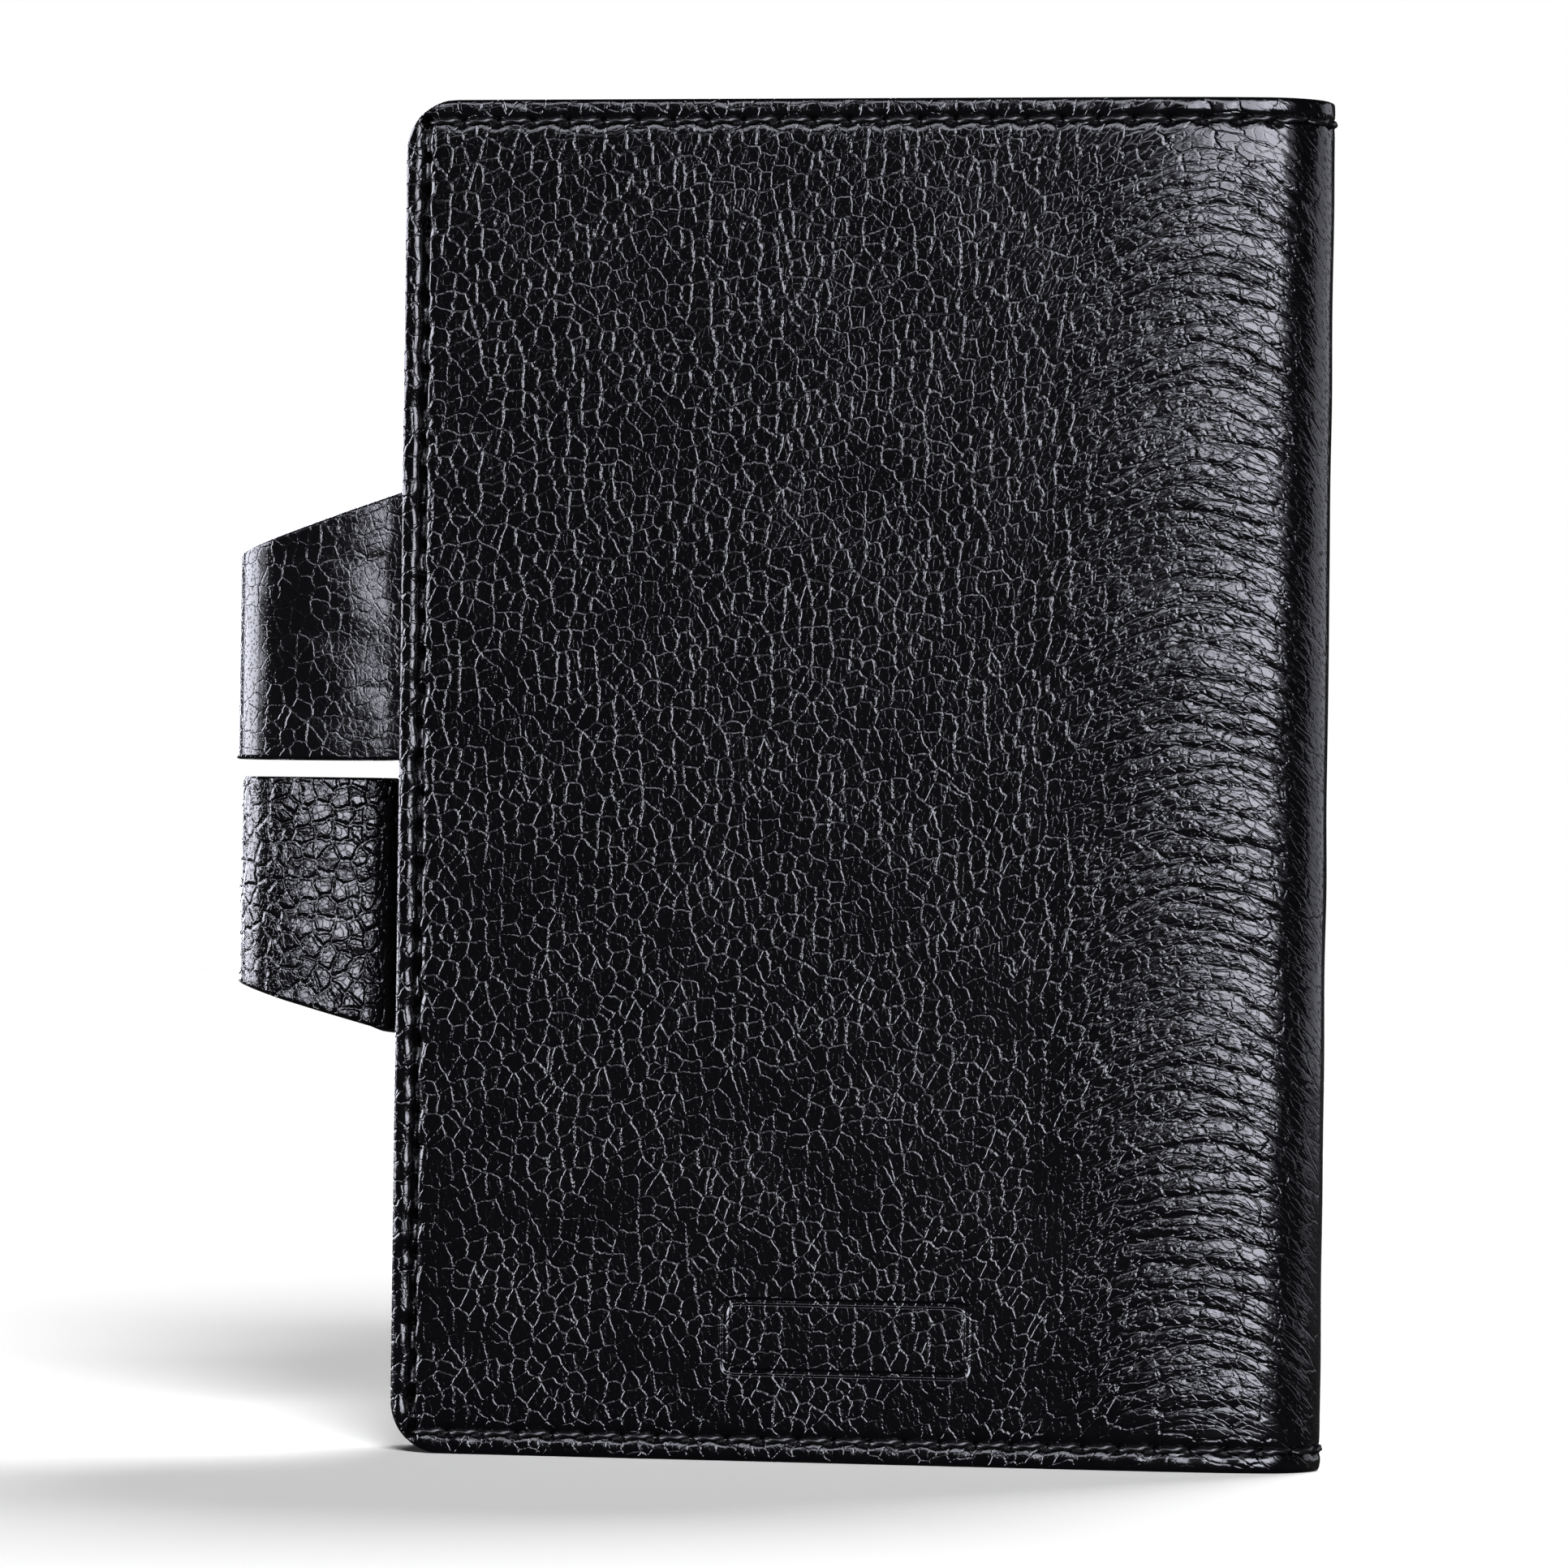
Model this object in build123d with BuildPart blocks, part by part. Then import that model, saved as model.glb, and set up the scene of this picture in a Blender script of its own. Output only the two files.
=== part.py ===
from build123d import *
import os
from math import asin, cos, degrees, radians, sin

# Upright leather cover for a pocket notebook, with the refill notebook in it.
# Frame: +Z up along the spine, spine at +X, fore edge and pen loops at -X,
# back cover at -Y, front cover at +Y. The cover stands on its lower edge at Z 0.

# Driving dimensions, in millimetres
cover_height = 155.0
cover_width = 106.0
cover_thickness = 18.0
loop_reach = 20.7  # how far the pen loops stand out past the fore edge
corner_radius = 6.0  # the two fore-edge corners of each cover
leather = 1.5
lining = 1.0
board = 0.7  # soft cover of the refill notebook
sleeve = 1.0
play = 0.1  # air between pieces that slide on each other

# Spine curve: a long gentle bend in each cover, then a tight bend round the pages
bend_length = 21.8  # from the start of the gentle bend to the outside of the spine
spine_radius = 8.0

# Sleeve pockets and refill notebook
sleeve_depth = 60.0
seam_allowance = 5.0
page_height = 142.0
fore_edge_margin = 7.2  # pages lie this far inside the cover's fore edge
signatures_per_half = 4

# Pen loops: straps of thinner leather, folded round a pen and sewn into the fore edge
strap = 1.2
shoulder_reach = 3.1  # the far leaf stands up steeply from its root, then leans out
shoulder_y = 1.5
far_corner_y = 6.4
loop_radii = (3.0, 5.0, 5.5)  # at the shoulder and the two corners of the fold
tongue_depth = 8.2
upper_base = (79.3, 110.2)  # lowest and highest point of the strap where it is sewn in
upper_fold_top = 102.8
lower_base = (47.3, 77.3)
lower_fold_bottom = 53.5

# Seam
seam_inset = 2.5
stitch_pitch = 4.0
stitch_length = 3.2
thread = 0.8
groove_width = 1.0
groove_depth = thread / 2

# Places along X and Y
loop_fold_x = -(cover_width + loop_reach) / 2
fore_edge_x = loop_fold_x + loop_reach
spine_x = fore_edge_x + cover_width
bend_x = spine_x - bend_length
half = cover_thickness / 2
spine_centre_x = spine_x - spine_radius
rise = half - spine_radius
straight_run = spine_centre_x - bend_x
radius_difference = (straight_run**2 + rise**2) / (2 * rise)
gentle_radius = spine_radius + radius_difference
gentle_angle = degrees(asin(straight_run / radius_difference))
gentle_centre_y = -half + gentle_radius
hinge_gap_angle = degrees(play / spine_radius)

# Depth of each layer below the outside face
lining_at = leather
lining_inside = leather + lining
board_at = lining_inside + play
sleeve_at = board_at + board + play
pages_at = sleeve_at + sleeve + play
pages_half = half - pages_at
page_fore_x = fore_edge_x + fore_edge_margin

# The hinge line of the back cover, in its outside face, and the line the pages turn on
hinge_x = bend_x + gentle_radius * sin(radians(gentle_angle))
hinge_y = gentle_centre_y - gentle_radius * cos(radians(gentle_angle))
turn_x = hinge_x - play
page_spine_x = turn_x - play

os.makedirs("parts", exist_ok=True)


def gentle_point(depth, angle):
    """A point on the gentle bend of the back cover, this deep below its outside face."""
    reach = gentle_radius - depth
    return (bend_x + reach * sin(radians(angle)), gentle_centre_y - reach * cos(radians(angle)))


def panel_outline(start_x, outer, inner):
    """Plan outline of one layer of the back cover, from start_x to the hinge line."""
    Polyline((start_x, -half + outer), (bend_x, -half + outer))
    ThreePointArc(
        gentle_point(outer, 0),
        gentle_point(outer, gentle_angle / 2),
        gentle_point(outer, gentle_angle),
    )
    Line(gentle_point(outer, gentle_angle), gentle_point(inner, gentle_angle))
    ThreePointArc(
        gentle_point(inner, gentle_angle),
        gentle_point(inner, gentle_angle / 2),
        gentle_point(inner, 0),
    )
    Line((bend_x, -half + inner), (start_x, -half + inner))
    Line((start_x, -half + inner), (start_x, -half + outer))


def spine_point(depth, angle):
    """A point on the tight bend, at this angle from the crown of the spine."""
    reach = spine_radius - depth
    return (spine_centre_x + reach * cos(radians(angle)), reach * sin(radians(angle)))


def spine_outline(outer, inner):
    """Plan outline of one layer of the spine, between its two hinge lines."""
    end = 90 - gentle_angle - hinge_gap_angle
    ThreePointArc(spine_point(outer, -end), spine_point(outer, 0), spine_point(outer, end))
    Line(spine_point(outer, end), spine_point(inner, end))
    ThreePointArc(spine_point(inner, end), spine_point(inner, 0), spine_point(inner, -end))
    Line(spine_point(inner, -end), spine_point(outer, -end))


# Stitch places: evenly spaced along the lower edge, the fore edge and the upper edge
seam_x = fore_edge_x + seam_inset
seam_low = seam_inset
seam_high = cover_height - seam_inset
long_count = round((bend_x - seam_x) / stitch_pitch)
long_pitch = (bend_x - seam_x) / long_count
tall_count = round((seam_high - seam_low) / stitch_pitch)
tall_pitch = (seam_high - seam_low) / tall_count
gentle_length = gentle_radius * radians(gentle_angle)
gentle_count = round(gentle_length / stitch_pitch)
spine_count = round(spine_radius * radians(180 - 2 * gentle_angle) / stitch_pitch)
long_places = [seam_x + (i + 0.5) * long_pitch for i in range(long_count)]
tall_places = [seam_low + (i + 0.5) * tall_pitch for i in range(tall_count)]
gentle_places = [gentle_angle * (i + 0.5) / gentle_count for i in range(gentle_count)]
spine_step = (180 - 2 * gentle_angle) / spine_count
spine_places = [gentle_angle - 90 + (i + 0.5) * spine_step for i in range(spine_count)]

# One tall side of every groove and strand
tall_run = seam_high - seam_low + groove_width
seam_middle = cover_height / 2


# Outer leather of the back cover
with BuildPart() as outer_leather_back:
    with BuildSketch(Plane.XY):
        with BuildLine():
            panel_outline(fore_edge_x, 0, leather)
        make_face()
    extrude(amount=cover_height)
    fore_edges = outer_leather_back.edges().filter_by(Axis.Y).group_by(Axis.X)[0]
    fillet(fore_edges, radius=corner_radius)
    with BuildSketch(Plane.XZ.offset(half)):
        with Locations((seam_x, seam_middle)):
            Rectangle(groove_width, tall_run)
        with Locations(((seam_x + bend_x) / 2, seam_low), ((seam_x + bend_x) / 2, seam_high)):
            Rectangle(bend_x - seam_x, groove_width)
    extrude(amount=-groove_depth, mode=Mode.SUBTRACT)
    for seam_z in (seam_low, seam_high):
        with BuildSketch(Plane.XY.offset(seam_z - groove_width / 2)):
            with BuildLine():
                panel_outline(bend_x - play, 0, groove_depth)
            make_face()
        extrude(amount=groove_width, mode=Mode.SUBTRACT)
outer_leather_back.part.label = "outer_leather_back"
export_step(outer_leather_back.part, "parts/outer_leather_back.step")

# Outer leather of the front cover, the same cut of hide on the other side
with BuildPart() as outer_leather_front:
    add(outer_leather_back.part.mirror(Plane.XZ))
outer_leather_front.part.label = "outer_leather_front"
export_step(outer_leather_front.part, "parts/outer_leather_front.step")

# Outer leather of the spine, a strip bent round the back of the pages
with BuildPart() as outer_leather_spine:
    with BuildSketch(Plane.XY):
        with BuildLine():
            spine_outline(0, leather)
        make_face()
    extrude(amount=cover_height)
    for seam_z in (seam_low, seam_high):
        with BuildSketch(Plane.XY.offset(seam_z - groove_width / 2)):
            with BuildLine():
                spine_outline(0, groove_depth)
            make_face()
        extrude(amount=groove_width, mode=Mode.SUBTRACT)
outer_leather_spine.part.label = "outer_leather_spine"
export_step(outer_leather_spine.part, "parts/outer_leather_spine.step")

# Lining of the back cover, cut away at the fore edge where the pen loop is sewn in
with BuildPart() as lining_back:
    with BuildSketch(Plane.XY):
        with BuildLine():
            panel_outline(fore_edge_x, lining_at, lining_inside)
        make_face()
    extrude(amount=cover_height)
    fore_edges = lining_back.edges().filter_by(Axis.Y).group_by(Axis.X)[0]
    fillet(fore_edges, radius=corner_radius)
    with BuildSketch(Plane.XZ.offset(half)):
        with Locations((fore_edge_x + tongue_depth / 2, sum(upper_base) / 2)):
            Rectangle(tongue_depth, upper_base[1] - upper_base[0])
    extrude(amount=-half, mode=Mode.SUBTRACT)
lining_back.part.label = "lining_back"
export_step(lining_back.part, "parts/lining_back.step")

# Lining of the front cover, with its notch for the lower pen loop
with BuildPart() as lining_front:
    with BuildSketch(Plane.XY):
        with BuildLine():
            panel_outline(fore_edge_x, lining_at, lining_inside)
        make_face()
    extrude(amount=cover_height)
    fore_edges = lining_front.edges().filter_by(Axis.Y).group_by(Axis.X)[0]
    fillet(fore_edges, radius=corner_radius)
    with BuildSketch(Plane.XZ.offset(half)):
        with Locations((fore_edge_x + tongue_depth / 2, sum(lower_base) / 2)):
            Rectangle(tongue_depth, lower_base[1] - lower_base[0])
    extrude(amount=-half, mode=Mode.SUBTRACT)
    mirror(about=Plane.XZ, mode=Mode.REPLACE)
lining_front.part.label = "lining_front"
export_step(lining_front.part, "parts/lining_front.step")

# Lining of the spine
with BuildPart() as lining_spine:
    with BuildSketch(Plane.XY):
        with BuildLine():
            spine_outline(lining_at, lining_inside)
        make_face()
    extrude(amount=cover_height)
lining_spine.part.label = "lining_spine"
export_step(lining_spine.part, "parts/lining_spine.step")

# Sleeve pocket of the back cover: a sheet that dips to the lining along three sides
with BuildPart() as sleeve_back:
    with BuildSketch(Plane.XZ.offset(half - lining_inside)):
        with Locations((fore_edge_x + sleeve_depth / 2, seam_middle)):
            Rectangle(sleeve_depth, cover_height)
    extrude(amount=-(sleeve_at + sleeve - lining_inside))
    fore_edges = sleeve_back.edges().filter_by(Axis.Y).group_by(Axis.X)[0]
    fillet(fore_edges, radius=corner_radius)
    with BuildSketch(Plane.XZ.offset(half - lining_inside)):
        with Locations((fore_edge_x + seam_allowance + sleeve_depth / 2, seam_middle)):
            Rectangle(sleeve_depth, cover_height - 2 * seam_allowance)
    extrude(amount=-(sleeve_at - lining_inside), mode=Mode.SUBTRACT)
    with BuildSketch(Plane.XZ.offset(half - sleeve_at - sleeve)):
        with Locations((seam_x, seam_middle)):
            Rectangle(groove_width, tall_run)
        seam_centre = fore_edge_x + (sleeve_depth + seam_inset) / 2
        with Locations((seam_centre, seam_low), (seam_centre, seam_high)):
            Rectangle(sleeve_depth - seam_inset, groove_width)
    extrude(amount=groove_depth, mode=Mode.SUBTRACT)
sleeve_back.part.label = "sleeve_back"
export_step(sleeve_back.part, "parts/sleeve_back.step")

# Sleeve pocket of the front cover
with BuildPart() as sleeve_front:
    add(sleeve_back.part.mirror(Plane.XZ))
sleeve_front.part.label = "sleeve_front"
export_step(sleeve_front.part, "parts/sleeve_front.step")

# Pen loop of the back cover in plan: from the root round the far leaf to the near leaf
root_y = -half + lining_inside
near_leaf_y = -half + lining_at
tongue_x = fore_edge_x + tongue_depth
root = (fore_edge_x, root_y)
shoulder = (fore_edge_x - shoulder_reach, shoulder_y)
far_corner = (loop_fold_x, far_corner_y)
near_corner = (loop_fold_x, near_leaf_y)
near_root = (fore_edge_x, near_leaf_y)
loop_corners = (root, shoulder, far_corner, near_corner, near_root)

# Upper pen loop, sewn into the back cover; its upper edge slants down to the fold
with BuildPart() as pen_loop_back:
    with BuildSketch(Plane.XY.offset(upper_base[0])):
        with BuildLine():
            FilletPolyline(*loop_corners, radius=loop_radii)
            Line(near_root, root)
        make_face()
        offset(amount=-strap, mode=Mode.SUBTRACT)
        with Locations(((fore_edge_x + tongue_x) / 2, (root_y + near_leaf_y) / 2)):
            Rectangle(tongue_depth, lining)
    extrude(amount=upper_base[1] - upper_base[0])
    with BuildSketch(Plane.XZ.offset(half)):
        with BuildLine():
            Polyline(
                (loop_fold_x, upper_fold_top),
                (fore_edge_x, upper_base[1]),
                (loop_fold_x, upper_base[1]),
                close=True,
            )
        make_face()
    extrude(amount=-cover_thickness, mode=Mode.SUBTRACT)
pen_loop_back.part.label = "pen_loop_back"
export_step(pen_loop_back.part, "parts/pen_loop_back.step")

# Lower pen loop, sewn into the front cover; its lower edge slants up to the fold
with BuildPart() as pen_loop_front:
    with BuildSketch(Plane.XY.offset(lower_base[0])):
        with BuildLine():
            FilletPolyline(*loop_corners, radius=loop_radii)
            Line(near_root, root)
        make_face()
        offset(amount=-strap, mode=Mode.SUBTRACT)
        with Locations(((fore_edge_x + tongue_x) / 2, (root_y + near_leaf_y) / 2)):
            Rectangle(tongue_depth, lining)
    extrude(amount=lower_base[1] - lower_base[0])
    with BuildSketch(Plane.XZ.offset(half)):
        with BuildLine():
            Polyline(
                (loop_fold_x, lower_fold_bottom),
                (fore_edge_x, lower_base[0]),
                (loop_fold_x, lower_base[0]),
                close=True,
            )
        make_face()
    extrude(amount=-cover_thickness, mode=Mode.SUBTRACT)
    mirror(about=Plane.XZ, mode=Mode.REPLACE)
pen_loop_front.part.label = "pen_loop_front"
export_step(pen_loop_front.part, "parts/pen_loop_front.step")

# Soft covers of the refill notebook, each pushed into its sleeve
with BuildPart() as notebook_cover_back:
    with BuildSketch(Plane.XY.offset((cover_height - page_height) / 2)):
        with BuildLine():
            panel_outline(page_fore_x, board_at, board_at + board)
        make_face()
    extrude(amount=page_height)
notebook_cover_back.part.label = "notebook_cover_back"
export_step(notebook_cover_back.part, "parts/notebook_cover_back.step")

with BuildPart() as notebook_cover_front:
    add(notebook_cover_back.part.mirror(Plane.XZ))
notebook_cover_front.part.label = "notebook_cover_front"
export_step(notebook_cover_front.part, "parts/notebook_cover_front.step")

# Spine strip of the refill notebook
with BuildPart() as notebook_spine:
    with BuildSketch(Plane.XY.offset((cover_height - page_height) / 2)):
        with BuildLine():
            spine_outline(board_at, board_at + board)
        make_face()
    extrude(amount=page_height)
notebook_spine.part.label = "notebook_spine"
export_step(notebook_spine.part, "parts/notebook_spine.step")

# Signatures of the page block: four stay on the back cover, four turn with the front
signature_thickness = (pages_half - play / 2) / signatures_per_half
for number in range(1, 2 * signatures_per_half + 1):
    place = number - signatures_per_half - 0.5
    side = 1 if place > 0 else -1
    middle_y = place * signature_thickness + side * play / 2
    with BuildPart() as signature:
        with BuildSketch(Plane.XY.offset((cover_height - page_height) / 2)):
            with Locations(((page_fore_x + page_spine_x) / 2, middle_y)):
                Rectangle(page_spine_x - page_fore_x, signature_thickness)
        extrude(amount=page_height)
        fold_edges = signature.edges().filter_by(Axis.Z).group_by(Axis.X)[-1]
        fillet(fold_edges, radius=signature_thickness / 3)
    signature.part.label = f"signature_{number}"
    export_step(signature.part, f"parts/signature_{number}.step")

# Seam thread on the outside of the back cover: strands that lie half in the groove
with BuildPart() as seam_thread_back:
    with BuildSketch(Plane.XZ.offset(half + thread / 2)):
        with Locations(*[(seam_x, z) for z in tall_places]):
            Rectangle(thread, stitch_length)
        with Locations(*[(x, z) for x in long_places for z in (seam_low, seam_high)]):
            Rectangle(stitch_length, thread)
    extrude(amount=-thread)
    for seam_z in (seam_low, seam_high):
        for angle in gentle_places:
            place = gentle_point(0, angle)
            with BuildSketch(Plane.XY.offset(seam_z - thread / 2)):
                with Locations(Location((place[0], place[1], 0), (0, 0, angle))):
                    Rectangle(stitch_length, thread)
            extrude(amount=thread)
seam_thread_back.part.label = "seam_thread_back"
export_step(seam_thread_back.part, "parts/seam_thread_back.step")

with BuildPart() as seam_thread_front:
    add(seam_thread_back.part.mirror(Plane.XZ))
seam_thread_front.part.label = "seam_thread_front"
export_step(seam_thread_front.part, "parts/seam_thread_front.step")

# Seam thread round the spine
with BuildPart() as seam_thread_spine:
    for seam_z in (seam_low, seam_high):
        with BuildSketch(Plane.XY.offset(seam_z - thread / 2)):
            for angle in spine_places:
                place = spine_point(0, angle)
                with Locations(Location((place[0], place[1], 0), (0, 0, angle))):
                    Rectangle(thread, stitch_length)
        extrude(amount=thread)
seam_thread_spine.part.label = "seam_thread_spine"
export_step(seam_thread_spine.part, "parts/seam_thread_spine.step")

# The other face of the same seam, on the sleeve pockets
sleeve_places = [x for x in long_places if x < fore_edge_x + sleeve_depth - stitch_length]
with BuildPart() as seam_thread_sleeve_back:
    with BuildSketch(Plane.XZ.offset(half - sleeve_at - sleeve + groove_depth)):
        with Locations(*[(seam_x, z) for z in tall_places]):
            Rectangle(thread, stitch_length)
        with Locations(*[(x, z) for x in sleeve_places for z in (seam_low, seam_high)]):
            Rectangle(stitch_length, thread)
    extrude(amount=-thread)
seam_thread_sleeve_back.part.label = "seam_thread_sleeve_back"
export_step(seam_thread_sleeve_back.part, "parts/seam_thread_sleeve_back.step")

with BuildPart() as seam_thread_sleeve_front:
    add(seam_thread_sleeve_back.part.mirror(Plane.XZ))
seam_thread_sleeve_front.part.label = "seam_thread_sleeve_front"
export_step(seam_thread_sleeve_front.part, "parts/seam_thread_sleeve_front.step")

print("hinge line", round(hinge_x, 3), round(hinge_y, 3))
print("page turn line", round(turn_x, 3))
print("gentle bend", round(gentle_radius, 2), round(gentle_angle, 3))
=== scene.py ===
from math import asin, cos, pi, radians, sin, tan

import bpy
import numpy as np
from mathutils import Matrix, Vector


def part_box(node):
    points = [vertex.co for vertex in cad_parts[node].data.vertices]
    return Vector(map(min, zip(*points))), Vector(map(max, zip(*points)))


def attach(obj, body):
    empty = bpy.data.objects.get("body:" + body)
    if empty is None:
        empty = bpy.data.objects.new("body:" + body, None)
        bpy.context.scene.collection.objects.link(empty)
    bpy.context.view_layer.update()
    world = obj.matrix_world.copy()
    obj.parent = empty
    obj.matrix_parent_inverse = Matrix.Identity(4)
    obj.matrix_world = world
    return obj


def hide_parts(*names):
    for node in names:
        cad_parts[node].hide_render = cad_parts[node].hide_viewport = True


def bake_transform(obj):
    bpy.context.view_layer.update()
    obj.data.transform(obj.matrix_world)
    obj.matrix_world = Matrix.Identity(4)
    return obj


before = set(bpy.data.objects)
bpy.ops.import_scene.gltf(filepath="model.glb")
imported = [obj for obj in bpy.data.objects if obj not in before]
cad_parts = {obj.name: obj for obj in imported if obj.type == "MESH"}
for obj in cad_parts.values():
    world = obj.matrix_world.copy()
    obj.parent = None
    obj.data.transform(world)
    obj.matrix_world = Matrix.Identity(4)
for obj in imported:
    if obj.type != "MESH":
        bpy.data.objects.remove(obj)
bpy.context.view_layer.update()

bl_info = {
    "name": "Leather Notebook Cover",
    "version": (1, 0, 0),
    "blender": (4, 5, 0),
    "location": "3D View > Sidebar > Notebook Cover",
    "description": "Leather cover for a pocket notebook, with pen loops, sewn seams and a refill",
    "category": "Object",
}

MM = 0.001

# Places that come from the frame, in metres
back_low, back_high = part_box("outer_leather_back")
spine_low, spine_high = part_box("outer_leather_spine")
loop_low, loop_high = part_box("pen_loop_back")
lower_loop_low, lower_loop_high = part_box("pen_loop_front")
page_low, page_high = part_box("signature_1")
sleeve_low, sleeve_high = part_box("sleeve_back")
FORE_X = back_low[0]
CROWN_X = spine_high[0]
HALF = -back_low[1]
HEIGHT = back_high[2]
LOOP_X = loop_low[0]
UPPER_BASE = (loop_low[2], loop_high[2])
LOWER_BASE = (lower_loop_low[2], lower_loop_high[2])
TONGUE = loop_high[0] - FORE_X
SLEEVE_RUN = sleeve_high[0] - FORE_X


# ---------------------------------------------------------------- sizes and colours


class CoverSizes(bpy.types.PropertyGroup):
    """Sizes of the leather work."""

    leather: bpy.props.FloatProperty(
        name="Leather", description="Thickness of the outer hide", default=1.5 * MM, unit="LENGTH")
    lining: bpy.props.FloatProperty(
        name="Lining", description="Thickness of the lining", default=1.0 * MM, unit="LENGTH")
    card: bpy.props.FloatProperty(
        name="Card", description="Thickness of the refill's cover", default=0.7 * MM, unit="LENGTH")
    sleeve: bpy.props.FloatProperty(
        name="Sleeve", description="Thickness of the sleeve leather", default=1.0 * MM, unit="LENGTH")
    play: bpy.props.FloatProperty(
        name="Play", description="Air between pieces that slide", default=0.1 * MM, unit="LENGTH")
    corner: bpy.props.FloatProperty(
        name="Corner", description="Radius of the fore-edge corners", default=6.0 * MM, unit="LENGTH")
    bend: bpy.props.FloatProperty(
        name="Bend", description="Run of the bend before the crown", default=21.8 * MM, unit="LENGTH")
    spine_radius: bpy.props.FloatProperty(
        name="Spine radius", description="Tight bend round the pages", default=8.0 * MM, unit="LENGTH")
    edge_round: bpy.props.FloatProperty(
        name="Edge", description="Rounding of a worn cut edge", default=0.45 * MM, unit="LENGTH")
    strap: bpy.props.FloatProperty(
        name="Strap", description="Thickness of the pen loops", default=1.2 * MM, unit="LENGTH")
    seam_inset: bpy.props.FloatProperty(
        name="Seam inset", description="Seam to edge", default=2.5 * MM, unit="LENGTH")
    stitch_pitch: bpy.props.FloatProperty(
        name="Stitch pitch", description="Needle hole to needle hole", default=4.0 * MM, unit="LENGTH")
    thread: bpy.props.FloatProperty(
        name="Thread", description="Thickness of the waxed thread", default=0.85 * MM, unit="LENGTH")


class CoverColours(bpy.types.PropertyGroup):
    """Colours, as sRGB hex values."""

    hide: bpy.props.StringProperty(name="Hide", description="Dyed full-grain hide", default="040406")
    hide_worn: bpy.props.StringProperty(
        name="Worn hide", description="Where the finish has rubbed thin", default="08070A")
    raw_edge: bpy.props.StringProperty(
        name="Raw edge", description="Fibres of a cut edge", default="6A676B")
    edge_dye: bpy.props.StringProperty(
        name="Edge dye", description="Dye between the fibres of a cut edge", default="141317")
    lining: bpy.props.StringProperty(name="Lining", description="Lining leather", default="26242A")
    thread: bpy.props.StringProperty(name="Thread", description="Waxed thread", default="08080A")
    card: bpy.props.StringProperty(name="Card", description="Kraft card", default="B08A5B")
    paper: bpy.props.StringProperty(name="Paper", description="Cream paper", default="F1E9D2")
    floor: bpy.props.StringProperty(name="Floor", description="Studio floor", default="F4F4F4")


def sizes():
    return bpy.context.scene.cover_sizes


def colours():
    return bpy.context.scene.cover_colours


def linear(hex_colour):
    """An sRGB hex value as linear RGBA."""
    parts = [int(hex_colour[i:i + 2], 16) / 255 for i in (0, 2, 4)]
    return (*[p / 12.92 if p <= 0.04045 else ((p + 0.055) / 1.055) ** 2.4 for p in parts], 1.0)


def add_node(tree, kind, sockets=None, output=0, **settings):
    """Adds a node, sets and links its sockets, and returns one of its outputs."""
    node = tree.nodes.new(kind)
    for name, value in settings.items():
        setattr(node, name, value)
    for key, value in (sockets or {}).items():
        if isinstance(value, bpy.types.NodeSocket):
            tree.links.new(value, node.inputs[key])
        else:
            node.inputs[key].default_value = value
    return node.outputs[output] if len(node.outputs) else node


# ---------------------------------------------------------------- materials


def new_material(name):
    """An empty material with its output, and the tree to fill."""
    material = bpy.data.materials.new(name)
    material.use_nodes = True
    material.node_tree.nodes.clear()
    return material, material.node_tree


def finish_material(tree, shader):
    add_node(tree, "ShaderNodeOutputMaterial", {"Surface": shader})


def crease_net(tree, place, scale, width):
    """A net of creases between pebbles: 0 in the bottom of a crease, 1 on a pebble."""
    distance = add_node(
        tree, "ShaderNodeTexVoronoi", {"Vector": place, "Scale": scale},
        voronoi_dimensions="2D", feature="DISTANCE_TO_EDGE")
    return add_node(
        tree, "ShaderNodeMapRange", {"Value": distance, "From Min": 0.0, "From Max": width},
        interpolation_type="SMOOTHSTEP")


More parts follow.
